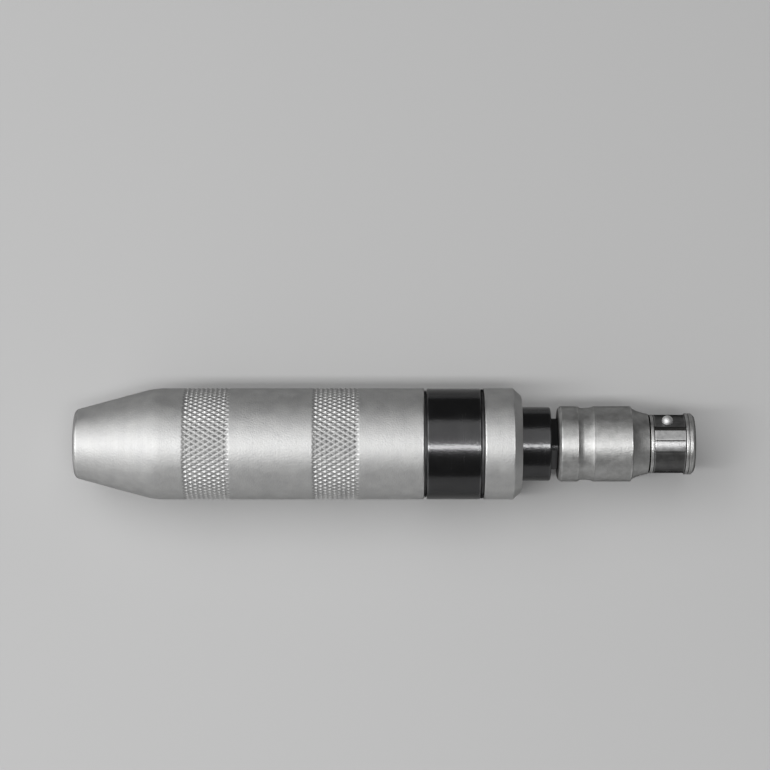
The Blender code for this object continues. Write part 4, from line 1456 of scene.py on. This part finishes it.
    def outline(self) -> Outline:
        """The holder's outside.

        The groove's floor rises to the front as a quarter of an ellipse: the radius goes with one minus the
        cosine of an angle, and the station with its sine. The hollow taper falls by an even slope plus the
        cube of what is left of its run, and ends at a narrow relief groove behind the nose.

        Returns:
            The outline.
        """
        groove_rear, groove_front, depth = self.groove
        bottom = groove_rear + self.groove_wall
        angles = np.linspace(0, math.pi / 2, self.curve_points)
        left = np.linspace(1, 0, self.curve_points)
        top, top_station = self.shoulder
        fall = self.taper_even * (left - 1) + self.taper_bend * (left**3 - 1)
        relief_rear, relief_front, relief = self.nose_relief
        band_rear, band_front, band_floor = self.band_groove
        middle = (band_front + self.rim_end) / 2
        corners = [
            Corner(0.0, self.rear),
            Corner(self.radius - self.rear_chamfer, self.rear, 0.15, 0.8),
            Corner(self.radius, self.rear + self.rear_chamfer, 0.15, 0.8),
            Corner(self.radius, groove_rear, 0.15, 0.5),
            *curve(self.radius - depth * np.cos(angles), bottom + (groove_front - bottom) * np.sin(angles)),
            Corner(self.radius, self.main_end, 0.2, 1.0),
            *curve(top + fall, self.nose_start - (self.nose_start - top_station) * left),
            # The relief groove is painted with shade: a wear below 0.
            Corner(relief, relief_rear, 0.0, -1.0),
            Corner(relief, relief_front, 0.0, -1.0),
            Corner(self.nose_radius, self.nose_edge, 0.15, 0.9),
            Corner(self.nose_radius, band_rear, 0.15, 0.9),
            # The band groove's floor is painted with shade.
            Corner(band_floor, band_rear, 0.1, -0.9),
            Corner(band_floor, band_front, 0.1, -0.9),
            Corner(self.rim_radius, band_front, 0.15, 0.9),
            Corner(self.rim_radius, middle - self.rim_line, 0.05, 0.5),
            # The rim's V line is painted with shade.
            Corner(self.rim_radius - self.rim_line, middle, 0.05, -0.5),
            Corner(self.rim_radius, middle + self.rim_line, 0.05, 0.5),
            Corner(self.rim_radius, self.rim_end, 0.15, 0.8),
            # The end chamfer is painted with shade.
            Corner(self.rim_radius - self.end_chamfer, self.end, 0.15, -0.8),
            Corner(0.0, self.end),
        ]
        return trace(corners)


@dataclass(frozen=True)
class Softbox:
    """A long lamp beside the tool, in metres.

    Its angles are round the tool axis, from the camera's direction, and grow over the top towards +Y.
    """

    name: str
    start_deg: float
    end_deg: float
    radiance: float
    length: float
    shift: float
    distance: float = 1.8


@dataclass
class Studio:
    """A pale floor, plain soft lamps and the camera, in metres."""

    camera_deg: float = 18.7
    camera_place: tuple[float, float, float] = (0.00035, -0.2673, 0.8083)
    camera_tilt_deg: float = 20.0
    lens: float = 120.25
    sensor: float = 36.0
    floor_size: float = 12.0
    sky: float = 0.1
    boxes: tuple[Softbox, ...] = (
        Softbox("broad_softbox", 0.0, 49.0, 0.88, 3.0, -0.8),
        Softbox("strip_softbox", -9.8, -3.2, 15.2, 2.2, -0.66),
        Softbox("left_softbox", -65.0, 65.0, 1.5, 2.4, -2.2),
    )

    def build(self) -> None:
        """Builds the floor, the world, the lamps and the camera."""
        self.add_floor()
        self.add_world()
        for softbox in self.boxes:
            self.add_softbox(softbox)
        self.add_camera()
        bpy.context.scene.view_settings.view_transform = "Standard"

    def add_floor(self) -> None:
        """Adds the floor, a flat square sheet at z = 0."""
        half = self.floor_size / 2
        mesh = bpy.data.meshes.new("pale_floor")
        mesh.from_pydata(np.pad(rectangle(-half, half, half), ((0, 0), (0, 1))), [], [range(4)])
        mesh.materials.append(BoardFinish().material())
        add_object("pale_floor", mesh)

    def add_world(self) -> None:
        """Adds an even grey surround."""
        world = bpy.data.worlds.new("studio")
        world.use_nodes = True
        shade = world.node_tree.nodes["Background"]
        shade.inputs["Color"].default_value = (1.0, 1.0, 1.0, 1.0)
        shade.inputs["Strength"].default_value = self.sky
        bpy.context.scene.world = world

    def add_softbox(self, softbox: Softbox) -> None:
        """Adds one lamp, square to the line from the tool, as wide as the angle that it fills.

        Its power is its radiance times pi times its area.

        Args:
            softbox: the lamp's sizes.
        """
        tilt = math.radians(self.camera_deg - (softbox.start_deg + softbox.end_deg) / 2)
        width = 2 * softbox.distance * math.tan(math.radians(softbox.end_deg - softbox.start_deg) / 2)
        lamp = bpy.data.lights.new(softbox.name, "AREA")
        lamp.shape = "RECTANGLE"
        lamp.size, lamp.size_y = softbox.length, width
        lamp.energy = softbox.radiance * math.pi * softbox.length * width
        height = AXIS_HEIGHT * MM + softbox.distance * math.cos(tilt)
        item = add_object(softbox.name, lamp)
        item.location = (softbox.shift, -softbox.distance * math.sin(tilt), height)
        item.rotation_euler = (tilt, 0.0, 0.0)

    def add_camera(self) -> None:
        """Adds the camera at the photograph's angle."""
        lens = bpy.data.cameras.new("camera")
        lens.lens, lens.sensor_width = self.lens, self.sensor
        item = add_object("camera", lens)
        item.location = self.camera_place
        item.rotation_euler = (math.radians(self.camera_tilt_deg), 0.0, 0.0)
        bpy.context.scene.camera = item


def main() -> None:
    """Builds the studio and the driver's sub-assemblies."""
    logging.basicConfig(level=logging.INFO, format="%(message)s")
    Studio().build()
    workshop = Workshop()
    for part in (Handle(), SpringTrain(), Spindle(), DirectionCollar(), FrontEnd(), BitHolder()):
        part.build(workshop)


if __name__ == "__main__":
    main()
